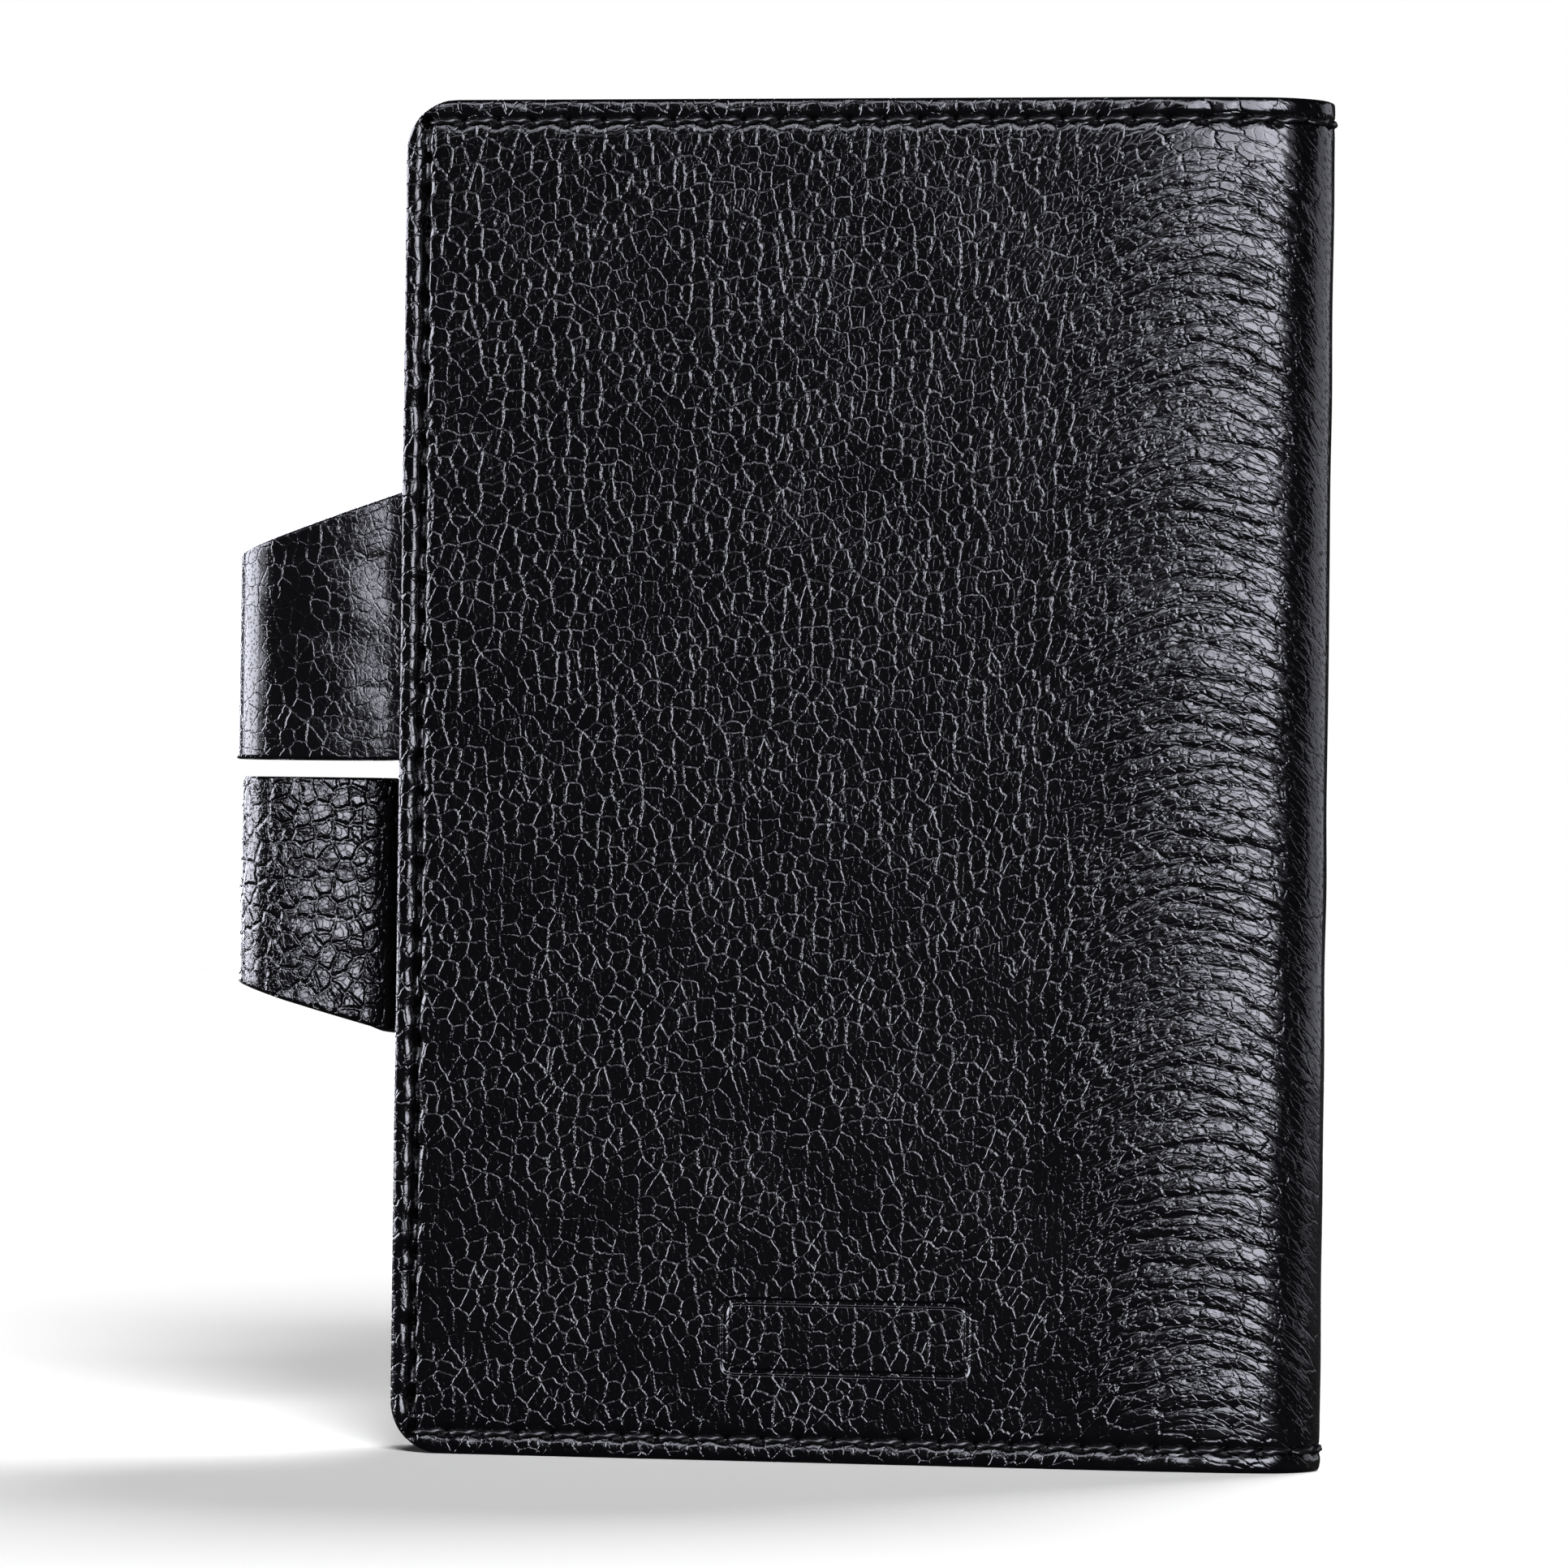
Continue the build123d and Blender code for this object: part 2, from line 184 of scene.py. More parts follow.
def grain_height(tree, crease):
    """Pebbled grain from the Grain map, whose unit is one pebble, flattened where it is stretched.
    crease is the half width of a crease between pebbles, as a share of a pebble."""
    place = add_node(tree, "ShaderNodeUVMap", uv_map="Grain")
    wander = add_node(
        tree, "ShaderNodeTexNoise", {"Vector": place, "Scale": 1.3, "Detail": 3.0},
        output=1, noise_dimensions="2D")
    shift = add_node(
        tree, "ShaderNodeVectorMath", {0: wander, 1: (0.5, 0.5, 0.5)}, operation="SUBTRACT")
    bent = add_node(
        tree, "ShaderNodeVectorMath", {0: shift, 1: (0.44, 0.44, 0.44), 2: place}, operation="MULTIPLY_ADD")
    uneven = add_node(
        tree, "ShaderNodeTexNoise", {"Vector": place, "Scale": 0.22, "Detail": 5.0}, noise_dimensions="2D")
    deep = add_node(
        tree, "ShaderNodeMapRange", {"Value": uneven, "From Min": 0.36, "From Max": 0.62, "To Min": 0.32})
    pebbles = crease_net(tree, bent, 1.0, crease)
    small = crease_net(tree, bent, 2.3, 0.11)
    fine = add_node(
        tree, "ShaderNodeTexNoise", {"Vector": place, "Scale": 7.0, "Detail": 2.0}, noise_dimensions="2D")
    pores = add_node(
        tree, "ShaderNodeTexVoronoi", {"Vector": place, "Scale": 3.6}, voronoi_dimensions="2D")
    pore_height = add_node(
        tree, "ShaderNodeMapRange", {"Value": pores, "From Min": 0.1, "From Max": 0.22})
    stretched = add_node(tree, "ShaderNodeAttribute", output=2, attribute_name="stretched")
    slack = add_node(tree, "ShaderNodeMapRange", {"Value": stretched, "To Min": 1.0, "To Max": 0.25})
    pebble_part = add_node(tree, "ShaderNodeMath", {0: pebbles, 1: deep}, operation="MULTIPLY")
    creased = add_node(tree, "ShaderNodeAttribute", output=2, attribute_name="creased")
    crackle = add_node(tree, "ShaderNodeMapRange", {"Value": creased, "To Min": 0.1, "To Max": 0.5})
    relief = add_node(
        tree, "ShaderNodeMath", {0: small, 1: crackle, 2: pebble_part}, operation="MULTIPLY_ADD")
    slackened = add_node(tree, "ShaderNodeMath", {0: relief, 1: slack}, operation="MULTIPLY")

    # Level folds of the bend: rows of round-topped ridges, four for five pebbles of height
    row = add_node(tree, "ShaderNodeSeparateXYZ", {0: bent}, output=1)
    wavy = add_node(tree, "ShaderNodeMath", {0: uneven, 1: 3.0, 2: row}, operation="MULTIPLY_ADD")
    phase = add_node(tree, "ShaderNodeMath", {0: wavy, 1: 0.8 * pi}, operation="MULTIPLY")
    wave = add_node(tree, "ShaderNodeMath", {0: phase}, operation="SINE")
    ridge = add_node(tree, "ShaderNodeMath", {0: wave}, operation="ABSOLUTE")
    rounded = add_node(tree, "ShaderNodeMath", {0: ridge, 1: 0.6}, operation="POWER")
    partly = add_node(tree, "ShaderNodeMath", {0: creased, 1: deep}, operation="MULTIPLY")
    ridges = add_node(tree, "ShaderNodeMath", {0: rounded, 1: partly}, operation="MULTIPLY")
    pore_part = add_node(tree, "ShaderNodeMath", {0: pore_height, 1: stretched}, operation="MULTIPLY")
    with_pores = add_node(
        tree, "ShaderNodeMath", {0: pore_part, 1: 1.0, 2: slackened}, operation="MULTIPLY_ADD")
    with_ridges = add_node(
        tree, "ShaderNodeMath", {0: ridges, 1: 2.6, 2: with_pores}, operation="MULTIPLY_ADD")
    lump = add_node(
        tree, "ShaderNodeTexNoise", {"Vector": place, "Scale": 2.4, "Detail": 3.0}, noise_dimensions="2D")
    lump_part = add_node(tree, "ShaderNodeMath", {0: lump, 1: creased}, operation="MULTIPLY")
    with_lumps = add_node(
        tree, "ShaderNodeMath", {0: lump_part, 1: 1.5, 2: with_ridges}, operation="MULTIPLY_ADD")
    return add_node(
        tree, "ShaderNodeMath", {0: fine, 1: 0.06, 2: with_lumps}, operation="MULTIPLY_ADD")


def blind_stamp(tree):
    """A plain rectangle pressed into the back cover near its foot: 1 on its line and 0 elsewhere."""
    place = add_node(tree, "ShaderNodeTexCoord", output=3)
    split = add_node(tree, "ShaderNodeSeparateXYZ", {0: place}).node
    reach = []
    for axis, middle, half in ((0, FORE_X + 53 * MM, 14 * MM), (2, 14.2 * MM, 4 * MM)):
        off = add_node(tree, "ShaderNodeMath", {0: split.outputs[axis], 1: middle}, operation="SUBTRACT")
        away = add_node(tree, "ShaderNodeMath", {0: off}, operation="ABSOLUTE")
        reach.append(add_node(tree, "ShaderNodeMath", {0: away, 1: half}, operation="SUBTRACT"))
    outside = add_node(
        tree, "ShaderNodeMath", {0: reach[0], 1: reach[1], 2: 2 * MM}, operation="SMOOTH_MAX")
    away = add_node(tree, "ShaderNodeMath", {0: outside}, operation="ABSOLUTE")
    line = add_node(
        tree, "ShaderNodeMapRange",
        {"Value": away, "From Min": 0.15 * MM, "From Max": 0.5 * MM, "To Min": 1.0, "To Max": 0.0},
        interpolation_type="SMOOTHSTEP")
    behind = add_node(
        tree, "ShaderNodeMapRange",
        {"Value": split.outputs[1], "From Min": -5 * MM, "From Max": -4 * MM, "To Min": 1.0, "To Max": 0.0})
    return add_node(tree, "ShaderNodeMath", {0: line, 1: behind}, operation="MULTIPLY")


def full_grain_leather(name, pebble, roughness, depth, crease=0.09, stamped=False):
    """Full-grain cowhide, drum-dyed and milled until it pebbles, with a semi-gloss finish.
    The eye gets near-black pebbles whose crease walls catch the lamps as thin bright lines."""
    material, tree = new_material(name)
    height = grain_height(tree, crease)
    if stamped:
        height = add_node(
            tree, "ShaderNodeMath", {0: blind_stamp(tree), 1: -2.6, 2: height}, operation="MULTIPLY_ADD")
    normal = add_node(
        tree, "ShaderNodeBump", {"Height": height, "Strength": 1.0, "Distance": pebble * depth})
    place = add_node(tree, "ShaderNodeUVMap", uv_map="Grain")
    cloud = add_node(
        tree, "ShaderNodeTexNoise", {"Vector": place, "Scale": 0.12, "Detail": 3.0}, noise_dimensions="2D")
    wear = add_node(
        tree, "ShaderNodeMapRange",
        {"Value": cloud, "From Min": 0.35, "From Max": 0.75, "To Max": 0.35})
    hide = add_node(
        tree, "ShaderNodeMix", {0: wear, 6: linear(colours().hide), 7: linear(colours().hide_worn)},
        output=2, data_type="RGBA")
    # Painted shade: the seam attribute turns the colour near-black in the seam's furrow and needle holes,
    # where shade falls
    seam = add_node(tree, "ShaderNodeAttribute", output=2, attribute_name="seam")
    hide_with_painted_seam_shade = add_node(
        tree, "ShaderNodeMix", {0: seam, 6: hide, 7: (0.001, 0.001, 0.001, 1.0)},
        output=2, data_type="RGBA")
    shader = add_node(
        tree, "ShaderNodeBsdfPrincipled",
        {"Base Color": hide_with_painted_seam_shade, "Roughness": roughness, "Normal": normal, "IOR": 1.5})
    finish_material(tree, shader)
    return material


def raw_edge_leather():
    """The cut edge of the hide: dyed fibres, matt, a little lighter than the finished face."""
    material, tree = new_material("raw_cut_leather_edge")
    place = add_node(tree, "ShaderNodeTexCoord", output=3)
    fibres = add_node(
        tree, "ShaderNodeTexNoise", {"Vector": place, "Scale": 2600.0, "Detail": 4.0, "Roughness": 0.7})
    tone = add_node(
        tree, "ShaderNodeMix",
        {0: fibres, 6: linear(colours().edge_dye), 7: linear(colours().raw_edge)},
        output=2, data_type="RGBA")
    normal = add_node(tree, "ShaderNodeBump", {"Height": fibres, "Strength": 0.8, "Distance": 0.12 * MM})
    shader = add_node(
        tree, "ShaderNodeBsdfPrincipled", {"Base Color": tone, "Roughness": 0.85, "Normal": normal})
    finish_material(tree, shader)
    return material


def lining_leather(name, roughness):
    """Thin split lining leather, plated smooth, with a fine even hair-cell print."""
    material, tree = new_material(name)
    place = add_node(tree, "ShaderNodeUVMap", uv_map="Grain")
    cells = crease_net(tree, place, 2.4, 0.25)
    cloud = add_node(
        tree, "ShaderNodeTexNoise", {"Vector": place, "Scale": 0.15, "Detail": 4.0}, noise_dimensions="2D")
    tone = add_node(
        tree, "ShaderNodeMix", {0: cloud, 6: linear(colours().hide), 7: linear(colours().lining)},
        output=2, data_type="RGBA")
    normal = add_node(tree, "ShaderNodeBump", {"Height": cells, "Strength": 0.7, "Distance": 0.05 * MM})
    rough = add_node(
        tree, "ShaderNodeMapRange", {"Value": cloud, "To Min": roughness - 0.06, "To Max": roughness + 0.06})
    shader = add_node(
        tree, "ShaderNodeBsdfPrincipled", {"Base Color": tone, "Roughness": rough, "Normal": normal})
    finish_material(tree, shader)
    return material


def waxed_thread():
    """Bonded polyester thread, three plies twisted and waxed: dark, with small bright glints."""
    material, tree = new_material("waxed_thread")
    place = add_node(tree, "ShaderNodeTexCoord", output=3)
    fibres = add_node(
        tree, "ShaderNodeTexNoise", {"Vector": place, "Scale": 9000.0, "Detail": 2.0})
    tone = add_node(
        tree, "ShaderNodeMix", {0: fibres, 6: linear(colours().thread), 7: linear(colours().hide_worn)},
        output=2, data_type="RGBA")
    normal = add_node(tree, "ShaderNodeBump", {"Height": fibres, "Strength": 0.5, "Distance": 0.05 * MM})
    shader = add_node(
        tree, "ShaderNodeBsdfPrincipled",
        {"Base Color": tone, "Roughness": 0.3, "Normal": normal})
    finish_material(tree, shader)
    return material


def kraft_card():
    """Uncoated kraft card with visible fibre flecks, matt."""
    material, tree = new_material("kraft_card")
    place = add_node(tree, "ShaderNodeUVMap", uv_map="Grain")
    flecks = add_node(
        tree, "ShaderNodeTexNoise", {"Vector": place, "Scale": 3.0, "Detail": 6.0, "Roughness": 0.7},
        noise_dimensions="2D")
    share = add_node(
        tree, "ShaderNodeMapRange", {"Value": flecks, "From Min": 0.3, "From Max": 0.7, "To Max": 0.3})
    tone = add_node(
        tree, "ShaderNodeMix", {0: share, 6: linear(colours().card), 7: linear("6E5130")},
        output=2, data_type="RGBA")
    normal = add_node(tree, "ShaderNodeBump", {"Height": flecks, "Strength": 0.4, "Distance": 0.05 * MM})
    shader = add_node(
        tree, "ShaderNodeBsdfPrincipled", {"Base Color": tone, "Roughness": 0.8, "Normal": normal})
    finish_material(tree, shader)
    return material


def book_paper():
    """Uncoated cream book paper: matt, with a faint cloudy formation."""
    material, tree = new_material("uncoated_cream_paper")
    place = add_node(tree, "ShaderNodeTexCoord", output=3)
    cloud = add_node(
        tree, "ShaderNodeTexNoise", {"Vector": place, "Scale": 160.0, "Detail": 5.0})
    share = add_node(
        tree, "ShaderNodeMapRange", {"Value": cloud, "From Min": 0.3, "From Max": 0.7, "To Max": 0.25})
    tone = add_node(
        tree, "ShaderNodeMix", {0: share, 6: linear(colours().paper), 7: linear("D9CDAE")},
        output=2, data_type="RGBA")
    normal = add_node(tree, "ShaderNodeBump", {"Height": cloud, "Strength": 0.3, "Distance": 0.03 * MM})
    shader = add_node(
        tree, "ShaderNodeBsdfPrincipled", {"Base Color": tone, "Roughness": 0.85, "Normal": normal})
    finish_material(tree, shader)
    return material


def floor_paint():
    """Matt white studio board. It shows pale, and throws little light back on the dark leather."""
    material, tree = new_material("matt_studio_board")
    board = add_node(
        tree, "ShaderNodeBsdfDiffuse", {"Color": linear(colours().floor)})
    dim = add_node(tree, "ShaderNodeBsdfDiffuse", {"Color": (0.04, 0.04, 0.04, 1.0)})
    seen = add_node(tree, "ShaderNodeLightPath", output=0)
    shader = add_node(tree, "ShaderNodeMixShader", {0: seen, 1: dim, 2: board})
    finish_material(tree, shader)
    return material


# ---------------------------------------------------------------- shape of the cover


class Outline:
    """Plan curve of the cover's outside, from the fore edge of one cover to the crown of the spine.
    run is the distance along it; depth is how far below the outside face a point lies."""

    def __init__(self):
        z = sizes()
        self.tight = z.spine_radius
        self.centre_x = CROWN_X - self.tight
        self.bend_x = CROWN_X - z.bend
        rise = HALF - self.tight
        straight = self.centre_x - self.bend_x
        difference = (straight ** 2 + rise ** 2) / (2 * rise)
        self.gentle = self.tight + difference
        self.angle = asin(straight / difference)
        self.flat_run = self.bend_x - FORE_X
        self.hinge_run = self.flat_run + self.gentle * self.angle
        self.crown_run = self.hinge_run + self.tight * (pi / 2 - self.angle)

    def at(self, run, depth):
        """Plan places of the back cover's half, with the front half at the same place but +Y."""
        gentle_turn = np.clip((run - self.flat_run) / self.gentle, 0, self.angle)
        tight_turn = np.maximum(run - self.hinge_run, 0) / self.tight
        turn = gentle_turn + tight_turn
        flat = np.minimum(run, self.flat_run)
        on_tight = run > self.hinge_run
        x = np.where(
            on_tight, self.centre_x + (self.tight - depth) * np.sin(turn),
            FORE_X + flat + (self.gentle - depth) * np.sin(turn))
        y = np.where(
            on_tight, -(self.tight - depth) * np.cos(turn),
            -HALF + self.gentle - (self.gentle - depth) * np.cos(turn))
        return x, y


def crease_flow(run, crown_run):
    """How far the pebble rows have climbed at this run: level at the apex of the arched creases,
    falling away on both sides of it, and nearly level again out on the flat."""
    steps = np.linspace(0, crown_run, 400)
    away = crown_run - 17.5 * MM - steps
    arch = np.clip(away, -10 * MM, 11 * MM) * 68.0
    slope = arch - (arch - 0.18) * ease(away, 10 * MM, 34 * MM)
    climbed = np.concatenate([[0], np.cumsum((slope[1:] + slope[:-1]) / 2 * np.diff(steps))])
    return np.interp(run, steps, climbed)


def pebble_count(run, crown_run):
    """Pebbles counted along the run: narrow ones on the flat, wide ones round the spine."""
    steps = np.linspace(0, crown_run, 400)
    share = np.clip((steps - crown_run + 38 * MM) / (22 * MM), 0, 1)
    width = (1.8 + 2.4 * share * share * (3 - 2 * share)) * MM
    count = np.concatenate([[0], np.cumsum(np.diff(steps) / ((width[1:] + width[:-1]) / 2))])
    return np.interp(run, steps, count)


def grid_mesh(name, outer, inner, grain, attributes):
    """A closed sheet between two grids of points, each of shape (rows, columns, 3).
    Its faces point out of the outer grid; slot 1 of its materials is for the cut edges."""
    rows, columns = outer.shape[:2]
    count = rows * columns
    places = np.concatenate([outer.reshape(-1, 3), inner.reshape(-1, 3)])
    index = np.arange(count).reshape(rows, columns)
    a, b, c, d = index[:-1, :-1], index[:-1, 1:], index[1:, 1:], index[1:, :-1]
    front = np.stack([a, b, c, d], -1).reshape(-1, 4)
    back = np.stack([d, c, b, a], -1).reshape(-1, 4) + count
    ring = np.concatenate([index[0, :-1], index[:-1, -1], index[-1, :0:-1], index[:0:-1, 0]])
    after = np.roll(ring, -1)
    wall = np.stack([after, ring, ring + count, after + count], -1)
    faces = np.concatenate([front, back, wall])
    mesh = bpy.data.meshes.new(name)
    mesh.from_pydata(places.tolist(), [], faces.tolist())
    mesh.polygons.foreach_set(
        "material_index", np.repeat([0, 0, 1], [len(front), len(back), len(wall)]).astype(np.int32))
    mesh.polygons.foreach_set("use_smooth", np.ones(len(faces), bool))
    loops = np.empty(len(mesh.loops), np.int32)
    mesh.loops.foreach_get("vertex_index", loops)
    both = np.concatenate([grain.reshape(-1, 2), grain.reshape(-1, 2)])
    mesh.uv_layers.new(name="Grain").data.foreach_set("uv", both[loops].astype(np.float32).ravel())
    for key, values in attributes.items():
        layer = mesh.attributes.new(key, "FLOAT", "POINT")
        # The seam attribute is painted shade, so it goes on the outer face only
        inside = values * 0 if key == "seam" else values
        layer.data.foreach_set(
            "value", np.concatenate([values.ravel(), inside.ravel()]).astype(np.float32))
    mesh.set_sharp_from_angle(angle=radians(50))
    mesh.validate()
    piece = bpy.data.objects.new(name, mesh)
    bpy.context.collection.objects.link(piece)
    return piece


def facing(points, side):
    """Points of the back half, or the same mirrored for the front half, wound to face outwards."""
    if side > 0:
        points = points * np.array([1.0, -1.0, 1.0])
        points = points[:, ::-1]
    return points


def turned(values, side):
    return values[:, ::-1] if side > 0 else values


def corner_inset(z, radius):
    """How far the fore edge draws in at this height, round its two corners."""
    near = np.minimum(z, HEIGHT - z)
    reach = np.clip(radius - near, 0, radius)
    return radius - np.sqrt(radius ** 2 - reach ** 2)


def ease(value, low, high):
    """0 below low, 1 above high, smooth between them."""
    t = np.clip((value - low) / (high - low), 0, 1)
    return t * t * (3 - 2 * t)


# Grid lines at a rounded edge and on both sides of its seam, from the edge
SEAM_LINES = np.array([0, 0.12, 0.3, 0.6, 1.0, 1.4, 1.8, 2.1, 2.3, 2.7, 2.92]) * MM


def seam_columns(outline):
    """Runs of the grid columns: a few at the rounded edge, then steps that end on needle holes."""
    z = sizes()
    count = round((outline.bend_x - FORE_X - z.seam_inset) / z.stitch_pitch)
    pitch = (outline.flat_run - z.seam_inset) / count
    flat = z.seam_inset + np.arange(count * 6 + 1) * pitch / 6
    rest = outline.crown_run - outline.flat_run
    steps = round(rest / (pitch / 6))
    bend = outline.flat_run + np.arange(1, steps + 1) * rest / steps
    return np.sort(np.concatenate([SEAM_LINES, flat, bend])), pitch


def seam_rows():
    """Heights of the grid rows, closer at the two rounded edges."""
    z = sizes()
    run = HEIGHT - 2 * z.seam_inset
    count = round(run / z.stitch_pitch)
    pitch = run / count
    middle = z.seam_inset + np.arange(count * 6 + 1) * pitch / 6
    return np.sort(np.concatenate([SEAM_LINES, middle, HEIGHT - SEAM_LINES])), pitch


def smooth_noise(run, z, size, seed):
    """Soft hills and hollows about this size across, between -1 and 1."""
    rng = np.random.default_rng(seed)
    total = np.zeros_like(run)
    for _ in range(14):
        heading, phase = rng.uniform(0, 2 * pi, 2)
        wave = 2 * pi / (size * rng.uniform(0.7, 1.6))
        total += np.sin((run * cos(heading) + z * sin(heading)) * wave + phase)
    return total / 5.5


def hide_half(name, side):
    """Outer hide of one cover, round to the crown of the spine."""
    z = sizes()
    outline = Outline()
    crown = outline.crown_run
    columns, pitch = seam_columns(outline)
    rows, tall_pitch = seam_rows()
    run, height = np.meshgrid(columns, rows)
    inset = corner_inset(height, z.corner)
    placed = run + inset * np.clip(1 - run / (14 * MM), 0, 1)
    from_top = np.minimum(height, HEIGHT - height)
    from_edge = np.minimum(placed - inset, from_top)

    rounding = np.clip(z.edge_round - from_edge, 0, z.edge_round)
    depth = z.edge_round - np.sqrt(z.edge_round ** 2 - rounding ** 2)

    # The seam pulls a furrow, a pit at each needle hole, and puffs between the holes
    drift = 0.2 * MM * smooth_noise(0 * height, height, 3 * MM, 9)
    half = (0.4 + 0.12 * smooth_noise(0 * height, height, 2.5 * MM, 8)) * MM
    in_fore = np.exp(-((placed - z.seam_inset - drift) / half) ** 2) * (from_top > z.seam_inset * 0.8)
    in_rim = np.exp(-((from_top - z.seam_inset) / (0.5 * MM)) ** 2) * (placed > z.seam_inset * 0.8)
    furrow = np.maximum(in_fore, in_rim)
    fore_phase = np.cos(2 * pi * (height - z.seam_inset) / tall_pitch)
    rim_phase = np.cos(2 * pi * (placed - z.seam_inset) / pitch)
    pits = np.maximum(in_fore * np.clip(fore_phase, 0, 1) ** 4, in_rim * np.clip(rim_phase, 0, 1) ** 2)
    depth = depth + 0.2 * MM * furrow + 0.65 * MM * in_fore + 0.9 * MM * pits
    fore_margin = ease(placed, 0.2 * MM, 1.1 * MM) * (1 - ease(placed, 1.4 * MM, 2.3 * MM))
    rim_margin = ease(from_top, 0.2 * MM, 1.1 * MM) * (1 - ease(from_top, 1.4 * MM, 2.3 * MM))
    uneven = 1 + 0.8 * smooth_noise(placed, height, 5 * MM, 4)
    puff = 0.2 * MM * fore_margin * (0.7 - 0.3 * fore_phase) * uneven
    puff = puff + 0.12 * MM * rim_margin * (0.5 - 0.5 * rim_phase) * uneven
    depth = depth - puff * (1 - furrow)

    # Milled hide is never quite flat, and its creases climb and level out where it bends
    loose = ease(from_edge, 2.5 * MM, 12 * MM)
    depth = depth + 0.05 * MM * loose * smooth_noise(placed, height, 16 * MM, 11)
    flow = height - crease_flow(placed, crown)
    bend_share = ease(placed, crown - 36 * MM, crown - 24 * MM)
    bend_share = bend_share * (1 - ease(placed, crown - 8 * MM, crown - 2.5 * MM))

    x, y = outline.at(placed, depth)
    outer = np.stack([x, y, height], -1)
    x, y = outline.at(placed, np.full_like(depth, z.leather))
    inner = np.stack([x, y, height], -1)

    across = pebble_count(placed, crown)
    across = 2 * pebble_count(np.array(crown), crown) - across if side > 0 else across
    grain = np.stack([across, flow / (2.1 * MM)], -1)
    stretched = ease(placed, crown - 7 * MM, crown - 3 * MM)
    # Painted shade mask: near-black colour in the seam's furrow and at each needle hole, where shade falls
    # in the sunk geometry
    holes = np.maximum(furrow * 0.55, np.clip(pits * 1.6, 0, 1))
    return grid_mesh(
        name, facing(outer, side), facing(inner, side), turned(grain, side),
        {"stretched": turned(stretched, side), "seam": turned(holes, side),
         "creased": turned(bend_share * loose, side)})


def layer_half(name, side, outer_depth, inner_depth, first_run, low, high, notch=None):
    """One inner layer of a cover, lining or card, round to the crown."""
    outline = Outline()
    columns = np.concatenate([
        np.linspace(first_run, outline.flat_run, 28),
        np.linspace(outline.flat_run, outline.crown_run, 24)[1:]])
    rows = np.linspace(low, high, 60)
    if notch:
        clear = 0.05 * MM
        rows = rows[(np.abs(rows - notch[0]) > 4 * clear) & (np.abs(rows - notch[1]) > 4 * clear)]
        rows = np.sort(np.concatenate([rows, [notch[0] - clear, notch[0], notch[1], notch[1] + clear]]))
    run, height = np.meshgrid(columns, rows)
    inset = corner_inset(height, sizes().corner) if first_run == 0 else 0 * height
    if notch:
        inset = np.where((height >= notch[0]) & (height <= notch[1]), TONGUE, inset)
    placed = run + inset * np.clip(1 - (run - first_run) / (30 * MM), 0, 1)
    sheets = []
    for depth in (outer_depth, inner_depth):
        x, y = outline.at(placed, np.full_like(placed, depth))
        sheets.append(facing(np.stack([x, y, height], -1), side))
    grain = turned(np.stack([placed, height], -1) / (1.5 * MM), side)
    return grid_mesh(name, *sheets, grain, {})


def sleeve_pocket(name, side):
    """Sleeve pocket: sewn down to the lining on three sides, and open towards the spine."""
    z = sizes()
    outline = Outline()
    rim = np.array([0, 0.15, 0.4, 0.8, 1.4, 2.0, 2.5, 3.0, 3.6, 4.2, 4.8, 5.6, 6.6, 8.0]) * MM
    mouth = SLEEVE_RUN - np.array([3.4, 2.9, 2.4, 1.2, 0.5, 0.2, 0]) * MM
    columns = np.concatenate([rim, np.linspace(10 * MM, SLEEVE_RUN - 5 * MM, 26), mouth])
    rows = np.concatenate([rim, np.linspace(10 * MM, HEIGHT - 10 * MM, 70), (HEIGHT - rim)[::-1]])
    run, height = np.meshgrid(columns, rows)
    inset = corner_inset(height, z.corner)
    placed = run + inset * np.clip(1 - run / (14 * MM), 0, 1)
    from_edge = np.minimum(run, np.minimum(height, HEIGHT - height))
    raised = ease(from_edge, 3.2 * MM, 6.0 * MM)
    lining_face = z.leather + z.lining
    under = lining_face + raised * (z.card + 2 * z.play)
    cut = 0.3 * MM
    worn = np.clip(cut - np.minimum(from_edge, SLEEVE_RUN - run), 0, cut)
    fold_line = np.exp(-((SLEEVE_RUN - run - 2.4 * MM) / (0.4 * MM)) ** 2)
    furrow = np.exp(-((from_edge - z.seam_inset) / (0.6 * MM)) ** 2)
    over = under + z.sleeve - (cut - np.sqrt(cut ** 2 - worn ** 2))
    over = over - 0.18 * MM * furrow - 0.12 * MM * fold_line
    over = over - 0.04 * MM * raised * (1 + smooth_noise(placed, height, 24 * MM, 5))
    sheets = []
    for depth in (under, over):
        x, y = outline.at(placed, depth)
        sheets.append(facing(np.stack([x, y, height], -1), side))
    grain = turned(np.stack([placed, height], -1) / (1.6 * MM), side)
    return grid_mesh(name, *sheets, grain, {})


# ---------------------------------------------------------------- pen loops


def rounded_path(points, radii, step):
    """Points along straight runs joined by arcs, with the direction of travel at each."""
    points = [Vector(p) for p in points]
    ends, places, headings = points[0], [], []

    def add_run(start, end):
        count = max(2, round((end - start).length / step))
        heading = (end - start).normalized()
        for share in np.linspace(0, 1, count, endpoint=False):
            places.append(start.lerp(end, share))
            headings.append(heading)

    for before, corner, after, radius in zip(points, points[1:], points[2:], radii):
        enter, leave = (corner - before).normalized(), (after - corner).normalized()
        turn = enter.angle_signed(leave)
        reach = radius * tan(abs(turn) / 2)
        start, end = corner - enter * reach, corner + leave * reach
        add_run(ends, start)
        inward = enter.orthogonal() if turn < 0 else -enter.orthogonal()
        centre = start + inward * radius
        for share in np.linspace(0, 1, max(3, round(radius * abs(turn) / step)), endpoint=False):
            spin = Matrix.Rotation(-turn * share, 2)
            places.append(centre + spin @ (start - centre))
            headings.append(spin @ enter)
        ends = end
    add_run(ends, points[-1])
    places.append(points[-1])
    headings.append(headings[-1])
    return np.array(places), np.array(headings)


